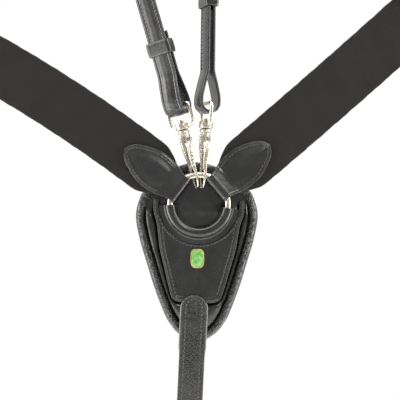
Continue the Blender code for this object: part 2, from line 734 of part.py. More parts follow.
def pin_hole(name, rivet, parent):
    radius, reach = PIN_RADIUS + PIN_CLEARANCE, 2 * JAW_ROOT_OUTSIDE
    hole = turned(name, [(radius, -reach), (radius, reach)], None, parent, X, Y, Z, 16)
    hole.location = (0, 0, rivet)
    return hole


def spring_room():
    """The width that the spring's turns take beside the lug."""
    return 2 * SPRING_WIRE * (SPRING_TURNS + 1) + GAP


def make_spring(name, surfaces, parent):
    """A close-wound torsion spring on the pin, between the lug and the front jaw."""
    radius = PIN_RADIUS + GAP + SPRING_WIRE
    start = LUG_HALF + GAP + SPRING_WIRE
    pitch = 2 * SPRING_WIRE + 0.06 * MM
    loops = []
    steps = 14 * SPRING_TURNS
    for i in range(steps + 1):
        t = 2 * pi * SPRING_TURNS * i / steps
        out = Y * cos(t) + Z * sin(t)
        centre = Z * PIN_PLACE + out * radius + X * (start + pitch * t / (2 * pi))
        loops.append(circle(centre, out, X, SPRING_WIRE, 6))
    loft(name, loops, surfaces["spring_steel"], parent)


def make_collar(name, surfaces, parent):
    """Domed collar, the lug that the jaws turn on and the ridged stud that the eye turns on."""
    base, top = COLLAR_PLACE, COLLAR_PLACE + COLLAR_HEIGHT
    head = top + 2 * GAP + HUB_HEIGHT
    profile = [(COLLAR_RADIUS * 0.9, base), (COLLAR_RADIUS, base + 0.8 * MM),
               (COLLAR_RADIUS, base + 1.8 * MM), (COLLAR_RADIUS * 0.9, top - 0.4 * MM),
               (COLLAR_RADIUS * 0.62, top), (STUD_RADIUS, top), (STUD_RADIUS, head),
               (STUD_HEAD_RADIUS, head), (STUD_HEAD_RADIUS, head + 0.8 * MM),
               (STUD_HEAD_RADIUS * 0.85, head + 1.1 * MM), (STUD_HEAD_RADIUS * 0.85, head + 1.5 * MM),
               (STUD_HEAD_RADIUS * 0.9, head + 1.8 * MM), (STUD_HEAD_RADIUS * 0.5, head + 2.6 * MM)]
    collar = turned(name, profile, surfaces["nickel"], parent)
    low = (-LUG_HALF, -LUG_HALF_DEPTH, PIN_PLACE - LUG_HALF_DEPTH)
    high = (LUG_HALF, LUG_HALF_DEPTH, base + 1.0 * MM)
    join(collar, block(name + "_lug", low, high, parent))
    cut(collar, pin_hole(name + "_hole", PIN_PLACE, parent))


def make_pin(name, surfaces, parent):
    seat = JAW_ROOT_OUTSIDE + GAP
    half = [(PIN_RADIUS, seat), (PIN_HEAD_RADIUS, seat), (PIN_HEAD_RADIUS, seat + 0.3 * MM),
            (PIN_HEAD_RADIUS * 0.7, seat + 0.8 * MM)]
    profile = [(radius, -place) for radius, place in reversed(half)] + half
    pin = turned(name, profile, surfaces["nickel"], parent, X, Y, Z, 16)
    pin.location = (0, 0, PIN_PLACE)


def make_eye(name, surfaces, swivel):
    """A square wire eye on a hub, in the space of the swivel: its hub is at the origin."""
    half = EYE_INSIDE / 2 + EYE_WIRE
    outline = rounded_rectangle(-half, half, 0.0, EYE_HEIGHT + 2 * EYE_WIRE, EYE_CORNER)
    outline = with_straight_runs(outline, 6 * MM)
    eye = wire(name, outline, EYE_WIRE, surfaces["nickel"], swivel, Y, closed=True)
    end, edge = HUB_HEIGHT / 2, 0.4 * MM
    profile = [(HUB_RADIUS * 0.9, -end), (HUB_RADIUS, edge - end), (HUB_RADIUS, end - edge),
               (HUB_RADIUS * 0.9, end)]
    join(eye, turned(name + "_hub", profile, None, swivel))
    bore = STUD_RADIUS + GAP
    cut(eye, turned(name + "_bore", [(bore, -HUB_HEIGHT), (bore, HUB_HEIGHT)], None, swivel))


def branch_path(side):
    """Back run, round the eye's bar, up the front run, over the rein ring and down again."""
    spacing = RUN_SPACING / 2
    reach = LOOP_RADIUS
    tear = [(reach, 0), (reach * 0.98, 6 * MM), (reach * 0.66, 18 * MM), (spacing + 0.3 * MM, 28 * MM),
            (spacing, LOOP_LENGTH)]
    front_side = spline([Vector((0, -depth, place)) for depth, place in tear], 3)
    back_side = [Vector((0, -p.y, p.z)) for p in reversed(front_side)]
    bottom = arc(Vector(), -Y, -Z, reach, pi, 0.0, 12)
    back_run = along(Vector((0, spacing, TURN_BACK[side])), Vector((0, spacing, LOOP_LENGTH)), 4)
    rise = REIN_RING_RADIUS - sqrt(REIN_RING_RADIUS**2 - (BRANCH_TOP_WIDTH / 2) ** 2)
    fold = REIN_RING_WIRE + rise + GAP + BRANCH_LEATHER / 2
    turn = Vector((0, -spacing + fold, BRANCH_LENGTH))
    taper = Vector((0, -spacing, BRANCH_LENGTH - BRANCH_TAPER))
    front_run = along(Vector((0, -spacing, LOOP_LENGTH)), taper, 4)
    front_run += along(taper, Vector((0, -spacing, BRANCH_LENGTH)), 4)
    over = arc(turn, -Y, Z, fold, 0.0, pi, 10)
    end = Vector((0, turn.y + fold, BRANCH_LENGTH - TOP_TURN_BACK))
    return back_run + back_side[:-1] + bottom[:-1] + front_side[:-1] + front_run + over + [end], turn


def branch_width(point, on_back_run):
    """Full width, narrowing to what the rein ring takes."""
    if on_back_run:
        return BRANCH_WIDTH
    share = smooth_step((point.z - BRANCH_LENGTH + BRANCH_TAPER) / BRANCH_TAPER)
    return BRANCH_WIDTH + (BRANCH_TOP_WIDTH - BRANCH_WIDTH) * share


def make_branch(side, surfaces, hook):
    """Eye, strap, keeper and rein ring above one snap."""
    hub_place = COLLAR_PLACE + COLLAR_HEIGHT + GAP + HUB_HEIGHT / 2
    frame = hook.matrix_world @ Matrix.Rotation(-SNAP_YAW[side], 4, "Z")
    middle = frame @ Matrix.Translation((0, 0, hub_place)) @ Matrix.Rotation(BRANCH_YAW[side], 4, "Z")
    swivel = empty(side + "_swivel_axis", middle, hook)
    make_eye(side + "_snap_eye", surfaces, swivel)
    bar = middle @ Vector((0, 0, EYE_HEIGHT + 2 * EYE_WIRE))
    lean = Matrix.Rotation(BRANCH_TILT[side] - SNAP_TILT[side], 4, middle.to_3x3() @ X)
    strap_frame = Matrix.Translation(bar) @ lean @ middle.to_3x3().to_4x4()
    strap = empty(side + "_strap_axis", strap_frame, swivel)
    path, turn = branch_path(side)
    widths = [branch_width(p, i < len(path) // 2) for i, p in enumerate(path)]
    ribbon(side + "_branch_strap", path, X, widths, BRANCH_LEATHER, surfaces["grained_leather"], strap)
    slide = empty(side + "_keeper_axis", strap_frame @ Matrix.Translation((0, 0, KEEPER_PLACE[side])), strap)
    depth = RUN_SPACING / 2 + BRANCH_LEATHER / 2
    keeper(side + "_keeper", BRANCH_WIDTH / 2, -depth, depth, 0.0, KEEPER_HEIGHT, surfaces, slide)
    hang = empty(side + "_rein_ring_axis", strap_frame @ Matrix.Translation(turn), strap)
    ring = circle(Z * REIN_RING_RADIUS, X, Z, REIN_RING_RADIUS, 32)
    wire(side + "_rein_ring", ring, REIN_RING_WIRE, surfaces["nickel"], hang, Y, closed=True)


def make_snap(side, surfaces, root):
    across = SNAP_CROSSING[side]
    wire_middle = Vector((across, 0, sqrt(RING_RADIUS**2 - across**2)))
    turn = Matrix.Rotation(SNAP_TILT[side], 4, "Y") @ Matrix.Rotation(SNAP_YAW[side], 4, "Z")
    hook = empty(side + "_snap_axis", Matrix.Translation(wire_middle) @ turn, root)
    name = side + "_snap_"
    make_collar(name + "collar", surfaces, hook)
    make_jaw(name + "back_jaw", -1, PIN_PLACE, surfaces, hook)
    make_pin(name + "pin", surfaces, hook)
    make_spring(name + "spring", surfaces, hook)
    rivet = empty(side + "_jaw_axis", hook.matrix_world @ Matrix.Translation((0, 0, PIN_PLACE)), hook)
    make_jaw(name + "front_jaw", 1, 0.0, surfaces, rivet)
    make_branch(side, surfaces, hook)


def main():
    clear_scene()
    surfaces = make_materials()
    root = empty("breastplate", Matrix.Identity(4))
    make_ring(surfaces, root)
    make_ring_cover(surfaces, root)
    make_plate(surfaces, root)
    make_pad_layers(surfaces, root)
    make_pad_border(surfaces, root)
    make_pad_roll(surfaces, root)
    make_badge(surfaces, root)
    strap = empty("lower_strap_seat", Matrix.Rotation(STRAP_LEAN, 4, "Y"), root)
    turn = make_lower_strap(surfaces, strap)
    make_lining(surfaces, strap)
    make_lower_keeper(surfaces, strap)
    buckle = empty("girth_buckle_axis", strap.matrix_world @ Matrix.Translation(turn), strap)
    make_buckle(surfaces, buckle)
    for side in ("left", "right"):
        make_arm(side, surfaces, root)
        make_snap(side, surfaces, root)


main()
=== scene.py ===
"""Leather, elastic, thread and nickel for the breastplate centre, laid out as a Blender add-on.

Every new piece is a grid of points worked out with numpy and carried along a path. Lengths are
in metres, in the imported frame: X to the right, Y to the back and Z up, round the ring's middle.
"""

import json

import bpy
import numpy as np
from bpy.props import FloatProperty, FloatVectorProperty
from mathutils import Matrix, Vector


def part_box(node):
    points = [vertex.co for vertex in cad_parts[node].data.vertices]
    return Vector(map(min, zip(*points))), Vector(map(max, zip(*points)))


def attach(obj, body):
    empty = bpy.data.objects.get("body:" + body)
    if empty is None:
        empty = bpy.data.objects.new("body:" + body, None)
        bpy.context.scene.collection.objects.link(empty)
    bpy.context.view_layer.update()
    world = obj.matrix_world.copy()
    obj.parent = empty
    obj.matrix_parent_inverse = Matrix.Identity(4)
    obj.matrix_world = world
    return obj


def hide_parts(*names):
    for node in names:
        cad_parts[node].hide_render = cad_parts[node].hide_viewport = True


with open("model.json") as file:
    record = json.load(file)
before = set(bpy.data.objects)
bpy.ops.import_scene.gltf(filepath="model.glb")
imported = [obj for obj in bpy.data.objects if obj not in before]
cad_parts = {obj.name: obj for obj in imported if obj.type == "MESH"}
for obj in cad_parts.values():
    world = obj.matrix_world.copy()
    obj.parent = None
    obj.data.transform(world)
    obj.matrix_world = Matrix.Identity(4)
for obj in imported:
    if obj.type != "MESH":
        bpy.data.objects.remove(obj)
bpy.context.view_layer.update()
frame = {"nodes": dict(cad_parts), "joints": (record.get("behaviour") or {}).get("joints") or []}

bl_info = {
    "name": "Breastplate centre",
    "version": (1, 0, 0),
    "blender": (4, 5, 0),
    "location": "3D View > Sidebar > Breastplate",
    "description": "Builds the leather, elastic and metal pieces of a breastplate centre",
    "category": "Object",
}

MM = 0.001
JOINTS = {joint["name"]: joint for joint in frame["joints"]}
SIDES = ("left", "right")

# Ring and its leather cover
RING_RADIUS = 26.5 * MM
RING_WIRE = 2.9 * MM
COVER_START, COVER_END = 182.0, 352.0

# Depths of the shield's layers, front towards -Y
PLATE_FRONT = 1.0 * MM
PLATE_THICKNESS = 1.8 * MM
FACING_FRONT = 8.6 * MM
BACKING_BACK = 18.2 * MM
PAD_SHIFT = -2.1 * MM
PAD_HALF_OUTLINE = (
    (0, 39), (20, 34.2), (37, 25), (48, 14), (53.1, 5.5), (56.8, -11), (53.1, -33), (46.6, -55),
    (39.8, -77), (31.5, -99), (26, -110), (16.4, -121.4), (0, -129),
)
PLATE_SIDE = (
    (41.5, 4), (41.5, -8), (38.1, -20), (34.8, -42), (30.6, -58), (23.6, -84), (20.5, -89), (15, -91),
)
PLATE_NOTCH = 37.4 * MM
PLATE_TOP = 4.0 * MM
PLATE_LEAN = 1.8
PLATE_SEAM = 4.4 * MM
NOTCH_SEAM = 1.7 * MM
BORDER_CREST = 3.4 * MM

# Badge, lower strap and buckle
BADGE_PLACE = (-1.5 * MM, -50.1 * MM)
BADGE_SIZE = (12.5 * MM, 18.0 * MM)
STRAP_LEAN = 2.7
STRAP_TOP = 84.0 * MM
STRAP_FOLD = 206.0 * MM
STRAP_HALF = 11.8 * MM
STRAP_MIDDLE = -1.95 * MM
STRAP_LEATHER = 1.9 * MM
LINING_HALF = 12.8 * MM
LINING_LEATHER = 1.4 * MM
LINING_STEP = 131.0 * MM
BUCKLE_WIRE = 1.9 * MM
BUCKLE_HALF = 15.7 * MM
BUCKLE_LENGTH = 30.0 * MM
KEEPER_LEATHER = 1.8 * MM
STRAP_SEAM = 4.4 * MM
TONGUE_EYE = 2.9 * MM
TONGUE_FRONT = 4.4 * MM

# Side arms
ARM_DRIFT = {"left": 7.3 * MM, "right": 1.5 * MM}
ARM_START = 31.5 * MM
ARM_NARROW = 13.0 * MM
FOLD_PLACE = 24.8 * MM
TAB_LEATHER = 1.7 * MM
TAB_TUBE = 5.8 * MM
TAB_FLAT = 2.4 * MM
TAB_WIDTHS = (
    (20, 13.0), (25, 13.2), (30, 14.4), (35, 16.2), (42, 17.6), (48, 18.2), (55, 18.1), (62, 16.8),
    (70, 13.8), (76, 11.0), (80, 8.2), (83, 4.6), (84.4, 1.6), (85, 0.4),
)
TAB_TIP = 85.0 * MM
TAB_SEAM = 3.5 * MM
TAB_SEAM_START = 48.0 * MM
ELASTIC_HALF = 25.6 * MM
ELASTIC_END = 290.0 * MM
CHAPE_START = 264.0 * MM
CHAPE_SEAM = 3.0 * MM
DEE_PLACE = 300.0 * MM
DEE_WIRE = 2.3 * MM

# Snaps and branch straps
PIN_PLACE = 34.0 * MM
COLLAR_PLACE = 39.5 * MM
EYE_WIRE = 1.7 * MM
EYE_HALF = 12.0 * MM
EYE_HEIGHT = 20.4 * MM
BRANCH_HALF = 10.0 * MM
BRANCH_LEATHER = 2.6 * MM
BRANCH_LENGTH = 122.0 * MM
LOOP_RADIUS = 8.4 * MM
RUN_HALF = 2.6 * MM
TURN_BACK = {"left": 68.0 * MM, "right": 104.0 * MM}
BRANCH_SEAM = 3.4 * MM
SEAM_START = {"left": 62.0 * MM, "right": 44.0 * MM}
SLIDE_PLACE = {"left": 54.0 * MM, "right": 94.0 * MM}
KEEPER_HEIGHT = 13.0 * MM
REIN_RADIUS = 18.0 * MM
REIN_WIRE = 2.3 * MM

# Studio: each light's name, place, size and power
FLOOR_RADIUS = 0.42
CAMERA_PLACE = (0.0009, -0.869, 0.0037)
LENS, SENSOR = 85.0, 36.0
LIGHTS = (
    ("key", (0.55, -1.0, 0.75), 0.35, 5.0),
    ("fill", (-1.1, -0.6, -0.4), 0.8, 3.0),
    ("back", (0.2, 1.2, 0.9), 0.9, 9.0),
)

FINISH = "finish_"
RANGE_ENDS = ("From Min", "From Max", "To Min", "To Max")
X, Y, Z = np.eye(3)


# Lines and places


def unit(vectors):
    return vectors / np.maximum(np.linalg.norm(vectors, axis=-1, keepdims=True), 1e-12)


def lengths(line):
    """Distance along the line to each of its points."""
    return np.r_[0.0, np.cumsum(np.linalg.norm(np.diff(line, axis=0), axis=1))]


def sample(line, at, places):
    """The line's values at other places along it, with straight steps between its own points."""
    return np.stack([np.interp(places, at, column) for column in line.T], axis=-1)


def even(line, spacing, ring=False):
    """The line with points spaced evenly; a ring's last point isn't its first again."""
    line = np.vstack([line, line[:1]]) if ring else line
    at = lengths(line)
    count = max(int(round(at[-1] / spacing)), 4)
    made = sample(line, at, np.linspace(0, at[-1], count + 1))
    return made[:-1] if ring else made


def smooth(knots, spacing, ring=False):
    """A Catmull-Rom curve: between two knots, the cubic whose slope at each knot is half the step
    between that knot's neighbours."""
    knots = np.asarray(knots, float)
    count = len(knots)
    spans = np.arange(count if ring else count - 1)
    near = [spans + offset for offset in (-1, 0, 1, 2)]
    picks = [pick % count if ring else np.clip(pick, 0, count - 1) for pick in near]
    a, b, c, d = (knots[pick][:, None] for pick in picks)
    t = np.linspace(0, 1, 24, endpoint=False)[None, :, None]
    square, cube = 2 * a - 5 * b + 4 * c - d, 3 * (b - c) + d - a
    curve = b + (c - a) * t / 2 + square * t**2 / 2 + cube * t**3 / 2
    curve = curve.reshape(-1, knots.shape[1])
    return even(curve if ring else np.vstack([curve, knots[-1:]]), spacing, ring)


def slopes(line, ring=False):
    """Unit tangents by central differences."""
    if ring:
        return unit(np.roll(line, -1, axis=0) - np.roll(line, 1, axis=0))
    return unit(np.gradient(line, axis=0))


def turn(degrees, a, b, radius, centre=(0.0, 0.0, 0.0)):
    """Points at the given angles on a circle spanned by a and b."""
    t = np.radians(np.atleast_1d(degrees))[:, None]
    return np.asarray(centre) + radius * (np.cos(t) * a + np.sin(t) * b)


def in_plane(pairs, depth=0.0):
    """(x, z) pairs in millimetres as points at one depth."""
    pairs = np.asarray(pairs, float) * MM
    return np.stack([pairs[:, 0], np.full(len(pairs), depth), pairs[:, 1]], axis=1)


def rounded_box(low, high, corner, spacing):
    """A closed outline in the XZ plane with round corners, points spaced evenly."""
    centres = [(high[0], high[1]), (low[0], high[1]), (low[0], low[1]), (high[0], low[1])]
    signs = [(-1, -1), (1, -1), (1, 1), (-1, 1)]
    runs = []
    for k, (centre, sign) in enumerate(zip(centres, signs)):
        middle = (centre[0] + sign[0] * corner, 0.0, centre[1] + sign[1] * corner)
        runs.append(turn(np.linspace(k * 90, k * 90 + 90, 9), X, Z, corner, middle))
    return even(np.vstack(runs), spacing, ring=True)


def leaned(points, degrees):
    """Turned about the Y axis through the origin, as a hanging strap leans."""
    c, s = np.cos(np.radians(degrees)), np.sin(np.radians(degrees))
    return points @ np.array([[c, 0, -s], [0, 1, 0], [s, 0, c]])


def step(value):
    """0 below 0, 1 above 1, and a smooth S between."""
    value = np.clip(value, 0, 1)
    return value * value * (3 - 2 * value)


def bump(distance, width):
    """A bell curve, 1 at no distance."""
    return np.exp(-((distance / width) ** 2))


def quarter_round(share):
    """A quarter circle: 0 at 0, steep at first, and 1 from 1 on."""
    return np.sqrt(np.maximum(1 - (1 - np.clip(share, 0, 1)) ** 2, 0))


def ripple(along, pitch):
    """A wave between 0 and 1, one for each stitch."""
    return 0.5 + 0.5 * np.cos(along * 2 * np.pi / pitch)


def round_angles(count, start=0, end=360):
    """Degrees round a closed circle, without its first angle again at the end."""
    return np.linspace(start, end, count, endpoint=False)


class Place:
    """A turned space with its origin: calling it brings local points into the frame."""

    def __init__(self, origin, x, z):
        self.origin = np.asarray(origin, float)
        self.x, self.z = unit(np.asarray(x, float)), unit(np.asarray(z, float))
        self.y = np.cross(self.z, self.x)

    def __call__(self, points):
        return self.origin + points @ np.stack([self.x, self.y, self.z])

    def moved(self, offset):
        return Place(self(np.asarray(offset, float)), self.x, self.z)


def axis_of(name):
    return np.array(JOINTS[name]["axis"], float)


def at_joint(name):
    return np.array(JOINTS[name]["pos_m"], float)


def arm_place(side):
    origin = at_joint(side + "_arm_swing")
    return Place(origin, origin, -axis_of(side + "_arm_swing"))


def snap_place(side):
    return Place(at_joint(side + "_snap_swing"), -axis_of(side + "_jaw_open"), axis_of(side + "_eye_turn"))


def bar_axis(side):
    return axis_of(side + "_strap_swing") * (1 if side == "left" else -1)


def eye_place(side):
    return Place(at_joint(side + "_eye_turn"), bar_axis(side), axis_of(side + "_eye_turn"))


def branch_place(side):
    return Place(at_joint(side + "_strap_swing"), bar_axis(side), axis_of(side + "_keeper_slide"))


# Surfaces


def add_object(name, points, faces, uvs=None, rim=None, sharp=40.0):
    """A mesh object from arrays. A shell whose signed volume is negative is turned inside out, so that
    its faces point outwards."""
    corners = [np.array(face) for face in faces] if not isinstance(faces, np.ndarray) else faces
    first = np.array([face[0] for face in corners])
    volume = 0.0
    for k in range(1, len(corners[0]) - 1):
        a, b = points[first], points[[face[k] for face in corners]]
        c = points[[face[(k + 1) % len(face)] for face in corners]]
        volume += np.einsum("ij,ij->i", a, np.cross(b, c)).sum()
    if volume < 0:
        corners = [face[::-1] for face in corners]
        uvs = [uv[::-1] for uv in uvs] if uvs is not None else None
    mesh = bpy.data.meshes.new(name)
    mesh.from_pydata(points.tolist(), [], [face.tolist() for face in corners])
    if uvs is not None:
        layer = mesh.uv_layers.new(name="cloth")
        layer.data.foreach_set("uv", np.concatenate(uvs).astype(np.float32).ravel())
    if rim is not None:
        attribute = mesh.attributes.new("rim", "FLOAT", "POINT")
        attribute.data.foreach_set("value", np.asarray(rim, np.float32).ravel())
    mesh.shade_smooth()
    mesh.set_sharp_from_angle(angle=np.radians(sharp))
    made = bpy.data.objects.new(name, mesh)
    bpy.context.scene.collection.objects.link(made)
    return made


def skin(name, rows, ring=False, rim=None, sharp=40.0):
    """Quads over a grid: rows[i, j] is step i along the piece and j round it. Open ends are closed by
    one face each. The UV map holds the mean distance along and round the piece in metres."""
    n, m = rows.shape[:2]
    i = np.arange(n if ring else n - 1)[:, None]
    j = np.arange(m)[None, :]
    here, after, beside = i * m, (i + 1) % n * m, (j + 1) % m
    quads = np.stack([here + j, here + beside, after + beside, after + j], -1)
    looped = np.vstack([rows, rows[:1]]) if ring else rows
    round_rows = np.concatenate([rows, rows[:, :1]], axis=1)
    u = np.r_[0.0, np.cumsum(np.linalg.norm(np.diff(looped, axis=0), axis=2).mean(axis=1))]
    v = np.r_[0.0, np.cumsum(np.linalg.norm(np.diff(round_rows, axis=1), axis=2).mean(axis=0))]
    u_low, u_high, v_low, v_high = (
        np.broadcast_to(part, (len(i), m)) for part in (u[i], u[i + 1], v[j], v[j + 1])
    )
    uv = np.stack([u_low, v_low, u_low, v_high, u_high, v_high, u_high, v_low], -1).reshape(-1, 4, 2)
    faces, uvs = list(quads.reshape(-1, 4)), list(uv)
    if not ring:
        faces += [np.arange(m)[::-1], np.arange(m) + (n - 1) * m]
        uvs += [np.stack([np.zeros(m), v[:-1][::-1]], 1), np.stack([np.full(m, u[-1]), v[:-1]], 1)]
    return add_object(name, rows.reshape(-1, 3), faces, uvs, rim, sharp)


def finish_piece(made, body, material, slot=None, *nodes):
    """Give a piece its finish and its body, and hide the CAD nodes that it stands for. slot is not used."""
    made.data.materials.append(bpy.data.materials[FINISH + material])
    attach(made, body)
    if nodes:
        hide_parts(*nodes)
    return made


def rod(path, radius, across, ring=False, sides=24):
    """Rows for round wire along a path that lies square to across: a circle at each point, in the
    plane of across and its product with the tangent. radius is one number or one for each point."""
    t = np.linspace(0, 2 * np.pi, sides, endpoint=False)[None, :, None]
    side = np.cross(across, slopes(path, ring))[:, None]
    radius = np.broadcast_to(radius, (len(path),))[:, None, None]
    across = np.broadcast_to(across, side.shape)
    return path[:, None] + radius * (np.cos(t) * side + np.sin(t) * across)


def lathe(profile, place, axis=Z, a=X, b=Y, sides=40, spacing=0.25 * MM):
    """Rows for a turned piece: profile is (radius, place along the axis), and each pair becomes a circle."""
    profile = even(np.asarray(profile, float), spacing)
    t = np.linspace(0, 2 * np.pi, sides, endpoint=False)[None, :, None]
    radius, along = profile[:, 0, None, None], profile[:, 1, None, None]
    return place(radius * (np.cos(t) * a + np.sin(t) * b) + along * axis)


class Strap:
    """Leather along a path. Its section is flat, 2 x half wide, with edges rounded as a quarter circle;
    relief(l, v, d) lifts the outer face, with l along the path, v across it and d the distance to the
    nearest edge. ends says which ends are cut edges too."""

    def __init__(
        self, path, across, half, thickness, relief=None, ring=False, columns=30, ends=(False, False)
    ):
        self.path, self.across = path, np.broadcast_to(across, path.shape)
        self.ring, self.thickness = ring, thickness
        self.l = lengths(path)
        self.half = np.broadcast_to(half, (len(path),)).astype(float)
        self.up = unit(np.cross(self.across, slopes(path, ring)))
        self.relief = relief or (lambda l, v, d: 0 * d)
        self.columns, self.ends = columns, ends

    def edge_distance(self, l, v):
        half = np.interp(l, self.l, self.half)
        lean = np.interp(l, self.l, np.gradient(self.half, self.l))
        found = np.maximum(half - np.abs(v), 0) / np.sqrt(1 + lean**2)
        if self.ends[0]:
            found = np.minimum(found, l)
        if self.ends[1]:
            found = np.minimum(found, self.l[-1] - l)
        return found

    def lift(self, l, v):
        """Height of the outer face over the middle of the leather."""
        d = self.edge_distance(l, v)
        relief = self.relief(l, v, d) * step(d / (0.9 * MM))
        return self.thickness / 2 * self.curl(d) + relief

    def curl(self, d):
        """Share of the half thickness that is left near an edge."""
        return quarter_round(d / (self.thickness * 0.42))

    def rows(self):
        t = np.sin(np.linspace(-np.pi / 2, np.pi / 2, self.columns))
        t = 0.55 * t + 0.45 * np.linspace(-1, 1, self.columns)
        l = np.broadcast_to(self.l[:, None], (len(self.path), self.columns))
        v = t[None, :] * self.half[:, None]
        d = self.edge_distance(l, v)
        front, back = self.lift(l, v), -self.thickness / 2 * self.curl(d)
        middle = self.path[:, None] + self.across[:, None] * v[..., None]
        outer = middle + self.up[:, None] * front[..., None]
        inner = (middle + self.up[:, None] * back[..., None])[:, -2:0:-1]
        rim = np.exp(-d / (0.7 * MM))
        self.rim = np.concatenate([rim, rim[:, -2:0:-1]], axis=1)
        return np.concatenate([outer, inner], axis=1)

    def on_face(self, l, v, raise_by=0.0):
        """(points, outward normals) of places on the outer face."""
        path, across, up = (sample(part, self.l, l) for part in (self.path, self.across, self.up))
        up = unit(up)
        return path + across * v[..., None] + up * (self.lift(l, v) + raise_by)[..., None], up

    def places(self, first, last):
        return np.linspace(first, last, max(int(abs(last - first) / (0.5 * MM)), 4))

    def inset_run(self, first, last, distance):
        """Places from first up to last on one side and back on the other, that far inside the edge."""
        l = self.places(first, last)
        lean = np.interp(l, self.l, np.gradient(self.half, self.l))
        v = np.interp(l, self.l, self.half) - distance * np.sqrt(1 + lean**2)
        l, v = l[v > 0], v[v > 0]
        return self.on_face(np.r_[l, l[::-1]], np.r_[v, -v[::-1]])

    def side_run(self, first, last, v):
        """Places from first to last, that far to one side of the middle."""
        l = self.places(first, last)
        return self.on_face(l, np.full(len(l), v))

    def make(self, name):
        rows = self.rows()
        return skin(name, rows, self.ring, self.rim)


def threads(name, runs, body, material="thread"):
    """Sewing: along each run of (points, normals), one round-ended bead for each stitch, 20 points each,
    as an ellipsoid of three rings and two ends that leans a little off the line, as saddle stitches do."""
    sizes = bpy.context.scene.breastplate_sizes
    pitch, radius = sizes.stitch_pitch, sizes.stitch_gauge / 2
    starts, along, ups = [], [], []
    for points, normals in runs:
        at = lengths(points)
        places = np.arange(pitch * 0.5, at[-1], pitch)
        starts.append(sample(points, at, places))
        along.append(unit(sample(slopes(points), at, places)))
        ups.append(unit(sample(normals, at, places)))
    centre, tangent, up = np.concatenate(starts), np.concatenate(along), np.concatenate(ups)
    side = unit(np.cross(up, tangent))
    tangent = unit(tangent + 0.16 * side)
    side = unit(np.cross(up, tangent))
    t = np.radians(np.arange(6) * 60.0)
    shape = [(-1.0, 0.0, 0.0)]
    for x, r in ((-0.72, 0.75), (0.0, 1.0), (0.72, 0.75)):
        shape += [(x, r * np.cos(a), r * np.sin(a)) for a in t]
    shape = np.array(shape + [(1.0, 0.0, 0.0)])
    lift = 0.35 - 0.55 * shape[:, 0] ** 2
    points = (
        centre[:, None]
        + tangent[:, None] * (shape[:, 0] * pitch * 0.41)[None, :, None]
        + side[:, None] * (shape[:, 1] * radius)[None, :, None]
        + up[:, None] * ((shape[:, 2] + lift) * radius)[None, :, None]
    )
    k = np.arange(6)
    after = (k + 1) % 6
    faces = [np.array((0, 1 + after[i], 1 + k[i])) for i in k]
    for low in (1, 7):
        high = low + 6
        faces += [np.array((low + k[i], low + after[i], high + after[i], high + k[i])) for i in k]
    faces += [np.array((19, 13 + k[i], 13 + after[i])) for i in k]
    all_faces = [face + 20 * s for s in range(len(centre)) for face in faces]
    made = add_object(name, points.reshape(-1, 3), all_faces)
    return finish_piece(made, body, material)


# Finishes


class Nodes:
    """Short calls for a material's node tree."""

    def __init__(self, name):
        self.material = bpy.data.materials.new(FINISH + name)
        self.material.use_nodes = True
        self.tree = self.material.node_tree
        self.shader = self.tree.nodes["Principled BSDF"]

    def add(self, kind, **settings):
        made = self.tree.nodes.new(kind)
        for key, value in settings.items():
            if key in made.inputs:
                made.inputs[key].default_value = value
            else:
                setattr(made, key.lower(), value)
        return made

    def link(self, source, target):
        self.tree.links.new(source, target)

    def coordinates(self, kind="Object", scale=(1, 1, 1)):
        source = self.add("ShaderNodeTexCoord").outputs[kind]
        mapping = self.add("ShaderNodeMapping", Scale=scale)
        self.link(source, mapping.inputs["Vector"])
        return mapping.outputs["Vector"]

    def noise(self, vector, scale, detail=3.0, roughness=0.5):
        made = self.add("ShaderNodeTexNoise", Scale=scale, Detail=detail, Roughness=roughness)
        self.link(vector, made.inputs["Vector"])
        return made.outputs["Fac"]

    def cells(self, vector, scale, feature="DISTANCE_TO_EDGE"):
        made = self.add("ShaderNodeTexVoronoi", Scale=scale)
        made.feature = feature
        self.link(vector, made.inputs["Vector"])
        return made.outputs["Distance"]

    def ramp(self, value, low, high, out_low=0.0, out_high=1.0):
        made = self.add("ShaderNodeMapRange")
        made.interpolation_type = "SMOOTHSTEP"
        self.link(value, made.inputs["Value"])
        for key, number in zip(RANGE_ENDS, (low, high, out_low, out_high)):
            made.inputs[key].default_value = number
        return made.outputs["Result"]

    def maths(self, operation, a, b):
        made = self.add("ShaderNodeMath")
        made.operation = operation
        for socket, value in zip(made.inputs, (a, b)):
            if isinstance(value, (int, float)):
                socket.default_value = value
            else:
                self.link(value, socket)
        return made.outputs[0]

    def colours(self, value, first, second):
        made = self.add("ShaderNodeMix")
        made.data_type = "RGBA"
        self.link(value, made.inputs[0])
        made.inputs[6].default_value = (*first, 1)
        made.inputs[7].default_value = (*second, 1)
        return made.outputs[2]

    def relief(self, height, distance, strength=1.0, below=None):
        made = self.add("ShaderNodeBump", Distance=distance, Strength=strength)
        self.link(height, made.inputs["Height"])
        if below is not None:
            self.link(below, made.inputs["Normal"])
        return made.outputs["Normal"]

    def surface(self, sockets):
        """Set the shader's own sockets: a number is set, and anything else is linked."""
        for name, value in sockets.items():
            if isinstance(value, (int, float)):
                self.shader.inputs[name].default_value = value
            else:
                self.link(value, self.shader.inputs[name])
        return self.material


def scaled(colour, factor):
    return tuple(min(c * factor, 1.0) for c in colour)


